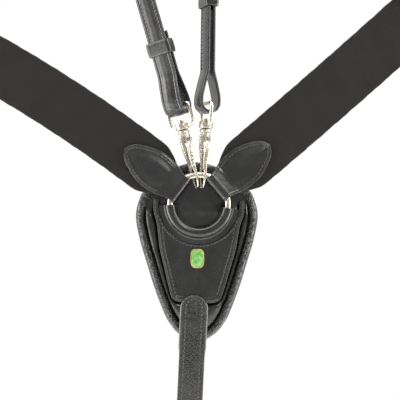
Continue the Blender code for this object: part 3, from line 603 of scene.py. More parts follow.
def make_leather(name, colour, roughness, pebble, depth, wrinkle=0.3 * MM):
    """Dyed leather: round pebbles from Voronoi cells over long soft creases, uneven dye and worn edges."""
    n = Nodes(name)
    where = n.coordinates()
    creases = n.noise(where, 120.0, 2.0)
    bent = n.add("ShaderNodeVectorMath")
    bent.operation = "MULTIPLY_ADD"
    n.link(where, bent.inputs[0])
    bent.inputs[1].default_value = (1, 1, 1)
    n.link(n.maths("MULTIPLY", creases, pebble), bent.inputs[2])
    domes = n.ramp(n.cells(bent.outputs[0], 1.0 / pebble, "F1"), 0.62, 0.1)
    grained = n.relief(domes, depth, 1.0, n.relief(creases, wrinkle))
    broad = n.noise(where, 48.0, 3.0)
    dye = n.colours(n.ramp(broad, 0.3, 0.7), scaled(colour, 0.7), scaled(colour, 1.35))
    rim = n.add("ShaderNodeAttribute", attribute_name="rim")
    worn = n.add("ShaderNodeMix")
    worn.data_type = "RGBA"
    rubbed = n.ramp(creases, 0.3, 0.7, 0.15, 0.75)
    n.link(n.maths("MULTIPLY", rim.outputs["Fac"], rubbed), worn.inputs[0])
    n.link(dye, worn.inputs[6])
    worn.inputs[7].default_value = (*scaled(colour, 5.0), 1)
    shine = n.ramp(broad, 0.25, 0.75, roughness * 0.8, roughness * 1.25)
    return n.surface({
        "Base Color": worn.outputs[2],
        "Normal": grained,
        "Roughness": n.maths("ADD", shine, n.maths("MULTIPLY", domes, -0.05)),
        "Specular IOR Level": 0.62,
    })


def make_elastic_cloth(colour):
    """Woven elastic: ribs along the band and finer picks across it, from two bands of waves on the
    cloth's own map."""
    n = Nodes("woven_elastic")
    along = n.coordinates("UV")
    where = n.coordinates()
    ribs = n.add("ShaderNodeTexWave", Scale=330.0, Distortion=0.25, Detail=1.0)
    ribs.bands_direction = "Y"
    picks = n.add("ShaderNodeTexWave", Scale=520.0, Distortion=0.5, Detail=1.0)
    picks.bands_direction = "X"
    for wave in (ribs, picks):
        n.link(along, wave.inputs["Vector"])
    crossing = n.maths("ADD", n.maths("MULTIPLY", picks.outputs["Fac"], 0.6), 0.4)
    weave = n.maths("MULTIPLY", ribs.outputs["Fac"], crossing)
    fuzz = n.relief(n.noise(where, 3000.0, 2.0), 0.04 * MM, 0.6)
    faded = n.maths("MULTIPLY", n.noise(where, 40.0, 4.0), 0.5)
    tint = n.maths("ADD", n.maths("MULTIPLY", weave, 0.5), faded)
    return n.surface({
        "Base Color": n.colours(tint, scaled(colour, 0.6), scaled(colour, 1.35)),
        "Normal": n.relief(weave, 0.12 * MM, 0.8, fuzz),
        "Roughness": 0.88,
        "Specular IOR Level": 0.25,
        "Sheen Weight": 0.12,
        "Sheen Roughness": 0.5,
    })


def make_metal(name, colour, roughness, dents):
    """Plated metal: slow waves and small dents from the casting, hazy patches and a warm tarnish in places."""
    n = Nodes(name)
    where = n.coordinates()
    waves = n.relief(n.noise(where, 150.0, 3.0), dents * 3)
    tarnish = n.ramp(n.noise(where, 220.0, 4.0), 0.42, 0.72)
    haze = n.noise(where, 700.0, 3.0)
    return n.surface({
        "Base Color": n.colours(tarnish, colour, scaled(colour, 0.78)),
        "Normal": n.relief(n.cells(where, 480.0, "F1"), dents, 0.7, waves),
        "Roughness": n.ramp(haze, 0.3, 0.7, roughness * 0.8, roughness * 1.5),
        "Metallic": 1.0,
    })


def make_fibre(name, colour, roughness, scale, depth):
    """Felt, suede or waxed thread: short fibres from stretched noise over a slow unevenness of colour."""
    n = Nodes(name)
    where = n.coordinates()
    fibres = n.noise(n.coordinates("Object", (1, 1, 2.4)), scale, 4.0, 0.7)
    uneven = n.maths("MULTIPLY", n.noise(where, 70.0), 0.4)
    tint = n.ramp(n.maths("ADD", n.maths("MULTIPLY", fibres, 0.6), uneven), 0.3, 0.7)
    return n.surface({
        "Base Color": n.colours(tint, scaled(colour, 0.65), scaled(colour, 1.4)),
        "Normal": n.relief(fibres, depth),
        "Roughness": roughness,
        "Sheen Weight": 0.08,
    })


def make_stone(colour):
    """Green enamel-like stone: paler veins and clouds under a clear coat."""
    n = Nodes("green_stone")
    where = n.coordinates()
    clouds = n.ramp(n.noise(where, 260.0, 4.0, 0.65), 0.38, 0.66)
    paler = tuple(0.16 + 0.7 * c for c in colour)
    return n.surface({
        "Base Color": n.colours(clouds, scaled(colour, 0.8), paler),
        "Normal": n.relief(n.noise(where, 300.0, 2.0), 0.25 * MM, 0.8),
        "Roughness": 0.12,
        "Coat Weight": 0.8,
        "Coat Roughness": 0.04,
    })


def make_floor_paint(colour):
    """Matt paint with a faint, slow unevenness."""
    n = Nodes("studio_floor")
    cloudy = n.noise(n.coordinates(), 3.0, 3.0)
    return n.surface({"Base Color": n.colours(cloudy, scaled(colour, 0.97), colour), "Roughness": 0.9})


# What the sidebar shows


class BreastplateSizes(bpy.types.PropertyGroup):
    """Sizes that may be changed before the pieces are made"""

    stitch_pitch: FloatProperty(
        name="Stitch pitch", description="Distance from one stitch to the next",
        default=3.6 * MM, min=MM, unit="LENGTH",
    )
    stitch_gauge: FloatProperty(
        name="Thread", description="Thickness of the sewing thread",
        default=1.3 * MM, min=0.2 * MM, unit="LENGTH",
    )
    pebble: FloatProperty(
        name="Pebble", description="Width of one pebble of the grained leather",
        default=2.0 * MM, min=0.3 * MM, unit="LENGTH",
    )
    pad_swell: FloatProperty(
        name="Pad swell", description="How far the pad's back may swell",
        default=4.5 * MM, min=0.0, unit="LENGTH",
    )
    floor_drop: FloatProperty(
        name="Floor drop", description="Height of the ring's middle over the floor",
        default=0.3, min=0.2, unit="LENGTH",
    )


class BreastplateColours(bpy.types.PropertyGroup):
    """Colours that may be changed before the finishes are made"""

    leather: FloatVectorProperty(
        name="Leather", description="Dye of the leather",
        default=(0.0065, 0.0065, 0.0067), subtype="COLOR", min=0, max=1,
    )
    elastic: FloatVectorProperty(
        name="Elastic", description="Yarn of the bands",
        default=(0.0095, 0.009, 0.0085), subtype="COLOR", min=0, max=1,
    )
    nickel: FloatVectorProperty(
        name="Nickel", description="Plating of the fittings",
        default=(0.6, 0.555, 0.47), subtype="COLOR", min=0, max=1,
    )
    stone: FloatVectorProperty(
        name="Stone", description="Colour of the badge",
        default=(0.09, 0.36, 0.03), subtype="COLOR", min=0, max=1,
    )
    thread: FloatVectorProperty(
        name="Thread", description="Colour of the sewing",
        default=(0.038, 0.037, 0.035), subtype="COLOR", min=0, max=1,
    )
    floor: FloatVectorProperty(
        name="Floor", description="Colour of the floor",
        default=(0.86, 0.86, 0.85), subtype="COLOR", min=0, max=1,
    )


def chosen():
    """The sizes and the colours that the scene holds."""
    scene = bpy.context.scene
    return scene.breastplate_sizes, scene.breastplate_colours


class BREASTPLATE_OT_finishes(bpy.types.Operator):
    """Make every leather, cloth and metal finish"""

    bl_idname = "breastplate.finishes"
    bl_label = "Finishes"

    def execute(self, context):
        sizes, colours = chosen()
        leather, nickel = tuple(colours.leather), tuple(colours.nickel)
        make_leather("smooth_leather", leather, 0.27, 0.7 * MM, 0.012 * MM, 0.25 * MM)
        make_leather("pebbled_leather", scaled(leather, 1.05), 0.3, sizes.pebble, 0.5 * MM)
        make_leather("strap_leather", leather, 0.33, 1.5 * MM, 0.22 * MM)
        make_leather("soft_backing_leather", scaled(leather, 1.8), 0.5, 1.1 * MM, 0.12 * MM, 0.7 * MM)
        make_elastic_cloth(tuple(colours.elastic))
        make_metal("nickel", nickel, 0.22, 0.02 * MM)
        make_metal("cast_nickel", scaled(nickel, 0.92), 0.24, 0.05 * MM)
        make_metal("spring_steel", scaled(nickel, 0.8), 0.25, 0.01 * MM)
        make_metal("gilt_rim", (0.45, 0.38, 0.12), 0.3, 0.02 * MM)
        make_fibre("thread", tuple(colours.thread), 0.5, 2200.0, 0.06 * MM)
        make_fibre("felt", (0.012, 0.012, 0.012), 0.95, 1200.0, 0.15 * MM)
        make_stone(tuple(colours.stone))
        make_floor_paint(tuple(colours.floor))
        return {"FINISHED"}


# Ring and cover


def cover_section():
    """The leather over the ring as (outwards, depth) in millimetres: skirt, round the wire's front, apron."""
    over = np.radians(np.linspace(12, 168, 19))
    tube = np.stack([4.8 * np.cos(over), -4.8 * np.sin(over)], 1)
    skirt = np.array([(10.9, 3.2), (10.6, 1.9), (8.6, 1.5), (6.4, 1.1), (5.2, 0.4)])
    apron = np.array([(-5.3, 0.2), (-6.0, 2.6), (-7.2, 4.6)])
    return smooth(np.vstack([skirt, tube, apron]), 0.35)


class BREASTPLATE_OT_ring(bpy.types.Operator):
    """Centre ring and the leather moulded over its lower half"""

    bl_idname = "breastplate.ring"
    bl_label = "Centre ring"

    def execute(self, context):
        path = turn(round_angles(160), X, Z, RING_RADIUS)
        made = skin("ring_wire", rod(path, RING_WIRE, Y, ring=True, sides=36), ring=True)
        finish_piece(made, "shield", "nickel", "nickel", "centre_ring")
        self.cover()
        return {"FINISHED"}

    def cover(self):
        """A band of leather carried round the ring. Outwards it runs to its sewn edge; inwards it sinks
        to the pad as an apron whose cut edge is nearer the middle below than at the ends, with a few
        creases along it."""
        count = 220
        angle = np.linspace(COVER_START, COVER_END, count)[:, None]
        off_middle = np.abs(2 * (angle - COVER_START) / (COVER_END - COVER_START) - 1)
        section = cover_section() * MM
        start = RING_RADIUS + section[-1, 0]
        cut = 9.9 * MM + 5.6 * MM * off_middle**2.2
        cut = cut + (start - 0.4 * MM - cut) * step((off_middle - 0.84) / 0.16)
        reach = np.linspace(0.06, 1, 26)[None, :]
        apron = start + (cut - start) * reach
        depth = section[-1, 1] + (7.4 * MM - section[-1, 1]) * (1 - (1 - reach) ** 2.4)
        for from_cut in (1.6, 3.1, 4.9):
            crease = 0.3 * MM * bump(apron - cut - from_cut * MM, 0.4 * MM)
            depth = depth + crease * step((0.9 - off_middle) / 0.4)
        out, deep = np.broadcast_to(section.T[:, None], (2, count, len(section)))
        out = np.concatenate([RING_RADIUS + out, apron], axis=1)
        deep = np.concatenate([deep, depth], axis=1)
        face = np.stack([out, deep], -1)
        run = unit(np.gradient(face, axis=1))
        behind = face + np.stack([run[..., 1], -run[..., 0]], -1) * 1.2 * MM
        line = np.concatenate([face, behind[:, ::-1]], axis=1)
        t = np.radians(angle)
        rows = np.stack([line[..., 0] * np.cos(t), line[..., 1], line[..., 0] * np.sin(t)], -1)
        made = skin("moulded_ring_cover", rows, sharp=50)
        finish_piece(made, "shield", "smooth_leather", "smooth_leather", "ring_cover")


# Shield


def pad_outline(spacing=1.0 * MM):
    right = np.asarray(PAD_HALF_OUTLINE, float)
    left = right[-2:0:-1] * (-1, 1)
    return smooth(in_plane(np.vstack([right, left])) + X * PAD_SHIFT, spacing, ring=True)


def inward(outline):
    """Unit directions towards the inside of a closed outline in the XZ plane."""
    made = np.cross(Y, slopes(outline, ring=True))
    return made * np.sign(np.einsum("ij,ij->i", made, outline.mean(axis=0) - outline).sum())


def plate_outline(spacing=0.8 * MM):
    side = smooth(in_plane(PLATE_SIDE), spacing)
    bottom = np.linspace(side[-1], side[-1] * (-1, 1, 1), 30)[1:-1]
    top = np.degrees(np.arcsin(PLATE_TOP / PLATE_NOTCH))
    notch = turn(np.linspace(180 - top, 360 + top, 120), X, Z, PLATE_NOTCH)
    whole = np.vstack([side, bottom, side[::-1] * (-1, 1, 1), notch])
    return even(leaned(whole, PLATE_LEAN), spacing, ring=True)


def nearest(points, line):
    """Distance in the XZ plane from each point to a closed line."""
    start = line[:, (0, 2)]
    span = np.roll(start, -1, axis=0) - start
    best = np.full(points.shape[:-1], np.inf)
    flat = points[..., (0, 2)]
    for a, s in zip(start, span):
        t = np.clip(((flat - a) @ s) / max(s @ s, 1e-18), 0, 1)
        best = np.minimum(best, np.linalg.norm(flat - a - t[..., None] * s, axis=-1))
    return best


class BREASTPLATE_OT_pad(bpy.types.Operator):
    """Padded shield: rolled border, raised facing and stuffed back"""

    bl_idname = "breastplate.pad"
    bl_label = "Shield pad"

    def execute(self, context):
        self.border()
        self.facing()
        self.back()
        return {"FINISHED"}

    def border(self):
        """A closed tube of leather carried round the outline: its section runs over a rounded front roll,
        round the rim and under to the back seam. Slow waves along it swell and slacken the roll. Each
        row of the section is (inwards, depth, share of the roll, share of the pucker)."""
        outline = pad_outline(0.9 * MM)
        towards = inward(outline)
        crest = BORDER_CREST * step((8 * MM - outline[:, 2]) / (18 * MM)) + 0.3 * MM
        along = lengths(outline)
        pucker = 0.16 * MM * np.sin(along * 2 * np.pi / (3.3 * MM))
        slow = 0.2 * MM * np.sin(along * 300.0) + 0.14 * MM * np.sin(along * 710.0 + 1.0)
        section = np.array([
            (9.4, 9.6, 0.0, 0.0), (8.6, 8.8, 0.15, 0.3), (7.9, 7.9, 0.55, 1.0), (6.6, 7.5, 0.9, 0.6),
            (4.6, 7.4, 1.05, 0.1), (2.6, 7.5, 0.85, 0.0), (1.0, 8.1, 0.45, 0.0), (0.1, 9.6, 0.1, 0.0),
            (0.0, 12.4, 0.0, 0.0), (0.3, 14.8, 0.0, 0.0), (1.3, 16.6, 0.0, 0.0), (3.0, 17.2, 0.0, 0.2),
            (5.0, 16.6, 0.0, 0.6), (7.2, 15.4, 0.0, 0.0), (7.6, 12.0, 0.0, 0.0),
        ])
        section = smooth(section, 0.42, ring=True)
        across = section[None, :, 0] * MM
        depth = section[None, :, 1] * MM - section[None, :, 2] * (crest + slow)[:, None]
        depth = depth - section[None, :, 3] * pucker[:, None]
        rows = outline[:, None] + towards[:, None] * across[..., None] + Y * depth[..., None]
        made = skin("rolled_border", rows, ring=True)
        finish_piece(made, "shield", "pebbled_leather", "grained_leather", "pad_border")
        line = (outline + towards * 8.5 * MM + Y * 8.4 * MM)[outline[:, 2] < 14 * MM]
        start = int(np.argmax(np.linalg.norm(line - np.roll(line, 1, axis=0), axis=1)))
        line = np.roll(line, -start, axis=0)
        threads("border_stitching", [(line, np.broadcast_to(-Y, line.shape))], "shield")

    def facing(self):
        """The front leather as a height field: flat under the plate and inside the ring, raised as a roll
        between the border's seam and the plate's edge, by the sine of the share of the way across."""
        outline = pad_outline(1.0 * MM)
        towards = inward(outline)
        plate = plate_outline(1.2 * MM)
        hub = np.array([PAD_SHIFT, 0.0, -0.032])
        reach = np.linspace(0, 1, 72)[:, None, None]
        rim = outline + towards * 8.0 * MM
        flat = rim[None] + (hub - rim)[None] * reach**1.15 * 0.995
        from_rim = nearest(flat, rim)
        to_plate = nearest(flat, plate)
        inside = self.inside(flat, plate)
        gap = from_rim + to_plate
        share = np.where(inside, 1.0, from_rim / np.maximum(gap, 1e-6))
        low = step((2 * MM - flat[..., 2]) / (14 * MM))
        height = 5.5 * MM * np.sin(np.pi * np.clip(share, 0, 1)) ** 0.5
        height = height * low * np.clip(gap / (9 * MM), 0.62, 1.05)
        height = np.where(inside, 0.0, height)
        width = np.clip((gap - 6 * MM) / (8 * MM), 0, 1)
        height = height * (1 - 0.12 * width)
        wave = 0.15 * MM * np.sin(flat[..., 0] * 420 + 1.3) * np.sin(flat[..., 2] * 390)
        front = flat + Y * (FACING_FRONT + 0.1 * MM - height - wave * (~inside) * low)[..., None]
        back = flat + Y * (FACING_FRONT + 1.4 * MM)
        made = skin("raised_facing", np.concatenate([front[::-1], back], axis=0), sharp=60)
        finish_piece(made, "shield", "smooth_leather", "smooth_leather", "pad_facing", "pad_roll")

    def inside(self, points, line):
        """Whether each point is inside the closed line, by the sum of its turns round the point."""
        total = np.zeros(points.shape[:-1])
        flat = points[..., (0, 2)]
        for a, b in zip(line[:, (0, 2)], np.roll(line[:, (0, 2)], -1, axis=0)):
            p, q = a - flat, b - flat
            total += np.arctan2(p[..., 0] * q[..., 1] - p[..., 1] * q[..., 0], (p * q).sum(-1))
        return np.abs(total) > np.pi

    def back(self):
        """The stuffed back: a flat cushion inside the border, blown up by a cloth simulation and held at
        its front."""
        outline = pad_outline(2.2 * MM)
        towards = inward(outline)
        rim = outline + towards * 4.6 * MM
        middle = np.array([PAD_SHIFT, 0.0, -0.036])
        spans = np.linspace(0, 1, 22)[:, None, None]
        flat = rim[None] + (middle - rim)[None] * spans * 0.99
        front, deep = flat + Y * 10.4 * MM, flat + Y * (BACKING_BACK - 1.0 * MM)
        made = skin("stuffed_back", np.concatenate([front[::-1], deep], axis=0), sharp=80)
        self.inflate(made, chosen()[0].pad_swell)
        finer = made.modifiers.new("finer", "SUBSURF")
        finer.levels = finer.render_levels = 1
        finish_piece(made, "shield", "soft_backing_leather", "grained_leather", "pad_filling", "pad_backing")

    def inflate(self, made, most):
        """Voxel remesh, then Cloth with pressure and no gravity, with the front face pinned; no point
        moves further than most. The swollen points are then kept and the Cloth is taken off."""
        frames = 20
        remesh = made.modifiers.new("remesh", "REMESH")
        remesh.mode, remesh.voxel_size = "VOXEL", 3.6 * MM
        bpy.context.view_layer.objects.active = made
        made.select_set(True)
        bpy.ops.object.modifier_apply(modifier="remesh")
        mesh = made.data
        count = len(mesh.vertices)
        start = np.empty(count * 3)
        mesh.vertices.foreach_get("co", start)
        start = start.reshape(-1, 3)
        held = made.vertex_groups.new(name="held")
        for index in np.flatnonzero(start[:, 1] < 15.0 * MM):
            held.add([int(index)], 1.0, "REPLACE")
        cloth = made.modifiers.new("cloth", "CLOTH")
        settings = cloth.settings
        settings.use_pressure = True
        settings.uniform_pressure_force = 4.0
        settings.effector_weights.gravity = 0.0
        settings.vertex_group_mass = "held"
        settings.tension_stiffness = settings.compression_stiffness = 12.0
        cloth.point_cache.frame_start, cloth.point_cache.frame_end = 1, frames
        scene = bpy.context.scene
        for number in range(1, frames + 1):
            scene.frame_set(number)
        graph = bpy.context.evaluated_depsgraph_get()
        swollen = made.evaluated_get(graph).data
        end = np.empty(count * 3)
        swollen.vertices.foreach_get("co", end)
        moved = end.reshape(-1, 3) - start
        far = np.linalg.norm(moved, axis=1, keepdims=True)
        moved *= np.minimum(1.0, most / np.maximum(far, 1e-9))
        made.modifiers.remove(cloth)
        mesh.vertices.foreach_set("co", (start + moved).ravel())
        mesh.update()
        mesh.shade_smooth()
        scene.frame_set(1)


class BREASTPLATE_OT_plate(bpy.types.Operator):
    """Smooth front plate, sewn on the pad along its sides and round the ring"""

    bl_idname = "breastplate.plate"
    bl_label = "Front plate"

    def execute(self, context):
        """Ruled between the notch round the ring and the line of the sides and bottom. The height follows
        the distance to the edge: a rounded rim, a crease, a groove for the stitches and a slight crown."""
        side = smooth(in_plane(PLATE_SIDE), 0.5 * MM)
        bottom = np.linspace(side[-1], side[-1] * (-1, 1, 1), 40)[1:-1]
        outer = even(np.vstack([side, bottom, side[::-1] * (-1, 1, 1)])[::-1], 0.7 * MM)
        outer = leaned(outer, PLATE_LEAN)
        top = np.degrees(np.arcsin(PLATE_TOP / PLATE_NOTCH))
        inner = turn(np.linspace(180 - top, 360 + top, len(outer)), X, Z, PLATE_NOTCH)
        inner = leaned(inner, PLATE_LEAN)
        share = np.linspace(0, 1, 90)
        share = (0.45 * share + 0.55 * (1 - np.cos(np.pi * share)) / 2)[None, :, None]
        flat = inner[:, None] * (1 - share) + outer[:, None] * share
        to_side = nearest(flat, outer)
        to_notch = np.linalg.norm(flat, axis=-1) - PLATE_NOTCH
        edge = np.minimum(to_side, np.maximum(to_notch, 0))
        angle = np.arctan2(flat[..., 2], flat[..., 0])
        pitch = chosen()[0].stitch_pitch
        pucker = 0.5 + 0.5 * np.cos(flat[..., 2] * 2 * np.pi / pitch * 1.06)
        pucker_notch = ripple(angle * PLATE_NOTCH, pitch)
        clear = step(to_notch / (3 * MM))
        height = 0.62 * MM * quarter_round(edge / (0.75 * MM))
        height = height - 0.24 * MM * bump(to_side - 1.3 * MM, 0.25 * MM)
        height = height + 0.35 * MM * bump(to_side - 2.8 * MM, 0.9 * MM) * clear
        height = height - (0.2 + 0.4 * pucker) * MM * bump(to_side - PLATE_SEAM, 0.5 * MM) * clear
        height = height - (0.15 + 0.35 * pucker_notch) * MM * bump(to_notch - NOTCH_SEAM, 0.45 * MM)
        height = height + 0.45 * MM * step((edge - 4.6 * MM) / (9 * MM))
        middle = PLATE_FRONT + PLATE_THICKNESS / 2
        front = flat + Y * (middle - 0.25 * MM - height)[..., None]
        back = flat + Y * (middle + 0.25 * MM + np.clip(height, 0, 0.6 * MM))[..., None]
        rim = np.exp(-edge / (0.6 * MM))
        rows = np.concatenate([front, back[:, ::-1]], axis=1)
        made = skin("sewn_plate", rows, rim=np.hstack([rim, rim[:, ::-1]]), sharp=60)
        finish_piece(made, "shield", "smooth_leather", "smooth_leather", "front_plate")
        self.sew()
        underlay = frame["nodes"]["plate_underlay"].data.materials
        underlay.clear()
        underlay.append(bpy.data.materials[FINISH + "felt"])
        return {"FINISHED"}

    def sew(self):
        """Stitches along both sides and round the notch."""
        side = smooth(in_plane(PLATE_SIDE), 0.5 * MM)
        towards = np.cross(Y, slopes(side))
        towards = towards * np.sign(-towards[0, 0])
        line = side + towards * PLATE_SEAM
        line = line[(side[:, 2] < -15 * MM) & (side[:, 2] > -88 * MM)]
        depth = Y * (PLATE_FRONT + 0.3 * MM)
        notch = turn(np.linspace(196, 344, 180), X, Z, PLATE_NOTCH + NOTCH_SEAM)
        lines = [leaned(part, PLATE_LEAN) + depth for part in (line, line * (-1, 1, 1), notch)]
        runs = [(part, np.broadcast_to(-Y, part.shape)) for part in lines]
        threads("plate_stitching", runs, "shield")


def pill(half, height, steps=12):
    """An upright outline with soft corners: a superellipse of order 3.2."""
    t = np.linspace(0, 2 * np.pi, 8 * steps, endpoint=False)
    x, z = (np.sign(part) * np.abs(part) ** 0.62 for part in (np.cos(t), np.sin(t)))
    return np.stack([half * x, 0 * x, height * z], 1)


class BREASTPLATE_OT_badge(bpy.types.Operator):
    """Small green stone in a metal rim, with no mark on it"""

    bl_idname = "breastplate.badge"
    bl_label = "Badge"

    def execute(self, context):
        """Both are superellipses carried through a section: a half-round rim, and a dome of falling size."""
        half, tall = BADGE_SIZE[0] / 2, BADGE_SIZE[1] / 2
        centre = np.array([BADGE_PLACE[0], PLATE_FRONT - 0.4 * MM, BADGE_PLACE[1]])
        t = np.linspace(0, 2 * np.pi, 20, endpoint=False)
        shrink = 0.6 * MM * (1 - np.cos(t))
        rim = [pill(half - s, tall - s) - Y * (0.5 * MM + 0.75 * MM * np.sin(a)) for s, a in zip(shrink, t)]
        made = skin("badge_rim", centre + np.array(rim), ring=True)
        finish_piece(made, "shield", "gilt_rim", "gilt", "badge_bezel")
        fall = np.sin(np.linspace(0, np.pi / 2, 14))
        half, tall = half - 0.9 * MM, tall - 0.9 * MM
        shape = [(np.cos(np.arcsin(f)) * 0.98 + 0.02, 0.5 + 1.5 * f) for f in fall]
        dome = [pill(half, tall) + Y * 0.3 * MM]
        dome += [pill(half * a, tall * a) - Y * b * MM for a, b in shape]
        made = skin("badge_stone_dome", centre + np.array(dome), sharp=70)
        finish_piece(made, "shield", "green_stone", "green_stone", "badge_stone")
        return {"FINISHED"}


# Straps below


def round_top(half, steps=16):
    """(place down the strap, half width) over a half-round top."""
    t = np.linspace(0.08, np.pi / 2, steps)
    return STRAP_TOP + half * (1 - np.cos(t)), half * np.sin(t)


def edge_lines(l, v, d, inset, pitch, groove=0.45):
    """The relief that most straps share: a crease by the edge and a puckered groove where the stitches lie."""
    seam = groove * (0.5 + 0.5 * ripple(l, pitch)) * MM * bump(d - inset, 0.45 * MM)
    return -0.2 * MM * bump(d - 1.2 * MM, 0.25 * MM) - seam


class BREASTPLATE_OT_lower_strap(bpy.types.Operator):
    """Strap to the girth with its lining, keeper and roller buckle"""

    bl_idname = "breastplate.lower_strap"
    bl_label = "Lower strap"

    def execute(self, context):
        """Front run, fold round the buckle's bar and a short run up behind, as one even line."""
        fold = BUCKLE_WIRE + 0.3 * MM + STRAP_LEATHER / 2
        bottom = np.array([0.0, STRAP_MIDDLE + fold, -STRAP_FOLD])
        places, widths = round_top(STRAP_HALF)
        run = np.arange(places[-1] + MM, STRAP_FOLD, 1.0 * MM)
        behind = STRAP_MIDDLE + STRAP_LEATHER + 0.9 * MM + LINING_LEATHER
        path = np.vstack([
            np.stack([0 * places, 0 * places + STRAP_MIDDLE, -places], 1),
            np.stack([0 * run, 0 * run + STRAP_MIDDLE, -run], 1),
            turn(np.linspace(0, 180, 20), -Y, -Z, fold, bottom),
            [(0, behind, bottom[2] + 14 * MM), (0, behind, bottom[2] + 38 * MM)],
        ])
        widths = np.r_[widths, np.full(len(path) - len(widths), STRAP_HALF)]
        at, smooth_path = lengths(path), even(path, 0.8 * MM)
        widths = np.interp(lengths(smooth_path), at * lengths(smooth_path)[-1] / at[-1], widths)
        pitch = chosen()[0].stitch_pitch

        def relief(l, v, d):
            return edge_lines(l, v, d, STRAP_SEAM, pitch, 0.35) + 0.25 * MM * step((d - 5 * MM) / (5 * MM))

        strap = Strap(leaned(smooth_path, STRAP_LEAN), leaned(-X, STRAP_LEAN), widths, STRAP_LEATHER,
                      relief, columns=56, ends=(False, True))
        made = strap.make("girth_strap")
        finish_piece(made, "shield", "strap_leather", "grained_leather", "lower_strap")
        last = strap.l[-1] - 66 * MM
        threads("girth_strap_stitching", [strap.inset_run(last, 0.5 * MM, STRAP_SEAM)], "shield")
        self.lining()
        self.keeper()
        self.buckle()
        return {"FINISHED"}

    def lining(self):
        """A flat strap behind, a little wider down to the step, then as wide as the strap."""
        places, widths = round_top(LINING_HALF)
        depth = STRAP_MIDDLE + (STRAP_LEATHER + LINING_LEATHER) / 2 + 0.3 * MM
        run = np.arange(places[-1] + MM, STRAP_FOLD - 9 * MM, 1.5 * MM)
        places = np.r_[places, run]
        narrower = (LINING_HALF - STRAP_HALF) * step((run - LINING_STEP) / (9 * MM))
        widths = np.r_[widths, LINING_HALF - narrower]
        path = leaned(np.stack([0 * places, 0 * places + depth, -places], 1), STRAP_LEAN)
        strap = Strap(path, leaned(X, STRAP_LEAN), widths, LINING_LEATHER, columns=20, ends=(False, True))
        made = strap.make("girth_strap_lining")
        finish_piece(made, "shield", "smooth_leather", "smooth_leather", "lower_strap_lining")

    def keeper(self):
        """A closed band round the strap and its fold, as deep as its CAD solid."""
        low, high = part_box("lower_keeper")
        wide, deep = STRAP_HALF + 1.25 * MM, (high[1] - low[1]) / 2 - KEEPER_LEATHER / 2
        outline = rounded_box((-wide, -deep), (wide, deep), 1.3 * MM, 0.5 * MM)
        across, depth = outline[:, 0], outline[:, 2] + (high[1] + low[1]) / 2
        path = np.stack([across, depth, 0 * across - (STRAP_FOLD - 17 * MM)], 1)
        band = Strap(leaned(path, STRAP_LEAN), leaned(-Z, STRAP_LEAN), 5 * MM, KEEPER_LEATHER,
                     keeper_relief, ring=True, columns=18)
        made = band.make("girth_keeper")
        finish_piece(made, "shield", "strap_leather", "grained_leather", "lower_keeper")

    def buckle(self):
        """Bent wire frame, a turned roller on its far bar, and a tongue curled round its near bar."""
        origin = at_joint("girth_buckle_swing")
        place = Place(origin, -axis_of("girth_buckle_swing"), leaned(Z, STRAP_LEAN))
        outline = rounded_box((-BUCKLE_HALF, -BUCKLE_LENGTH), (BUCKLE_HALF, 0), 3 * MM, 0.8 * MM)
        made = skin("buckle_frame", rod(place(outline), BUCKLE_WIRE, place.y, ring=True), ring=True)
        finish_piece(made, "girth_buckle", "nickel", "nickel", "girth_buckle_frame")
        end = (BUCKLE_HALF - 3.3 * MM) / MM
        profile = [(2.2, -end), (3.1, -end), (3.4, -end + 0.3), (3.4, end - 0.3), (3.1, end), (2.2, end)]
        bar = place.moved((0, 0, -BUCKLE_LENGTH))
        rows = lathe(np.array(profile) * MM, bar, X, Y, Z, spacing=1.0 * MM)
        made = skin("buckle_roller_tube", rows, ring=True)
        finish_piece(made, "buckle_roller", "nickel", "nickel", "girth_buckle_roller")
        path = np.vstack([
            turn(np.linspace(-285, 0, 30), -Y, -Z, TONGUE_EYE),
            [(0, -TONGUE_EYE - 0.4 * MM, -8 * MM)],
            [(0, -TONGUE_FRONT, -BUCKLE_LENGTH + 3 * MM), (0, -TONGUE_FRONT, -BUCKLE_LENGTH - 4.4 * MM)],
        ])
        path = even(path, 0.6 * MM)
        half = 2 * MM - 0.8 * MM * step((-path[:, 2] - 20 * MM) / (16 * MM))
        pin = Strap(place(path), place.x, half, 1.4 * MM, columns=14, ends=(False, True))
        made = pin.make("buckle_pin")
        finish_piece(made, "buckle_tongue", "nickel", "nickel", "girth_buckle_tongue")


def keeper_relief(l, v, d):
    """A crease along both edges and a slight crown between them."""
    return 0.25 * MM * step((d - 1.6 * MM) / (2.5 * MM)) - 0.25 * MM * bump(d - 1.3 * MM, 0.25 * MM)


# Side arms


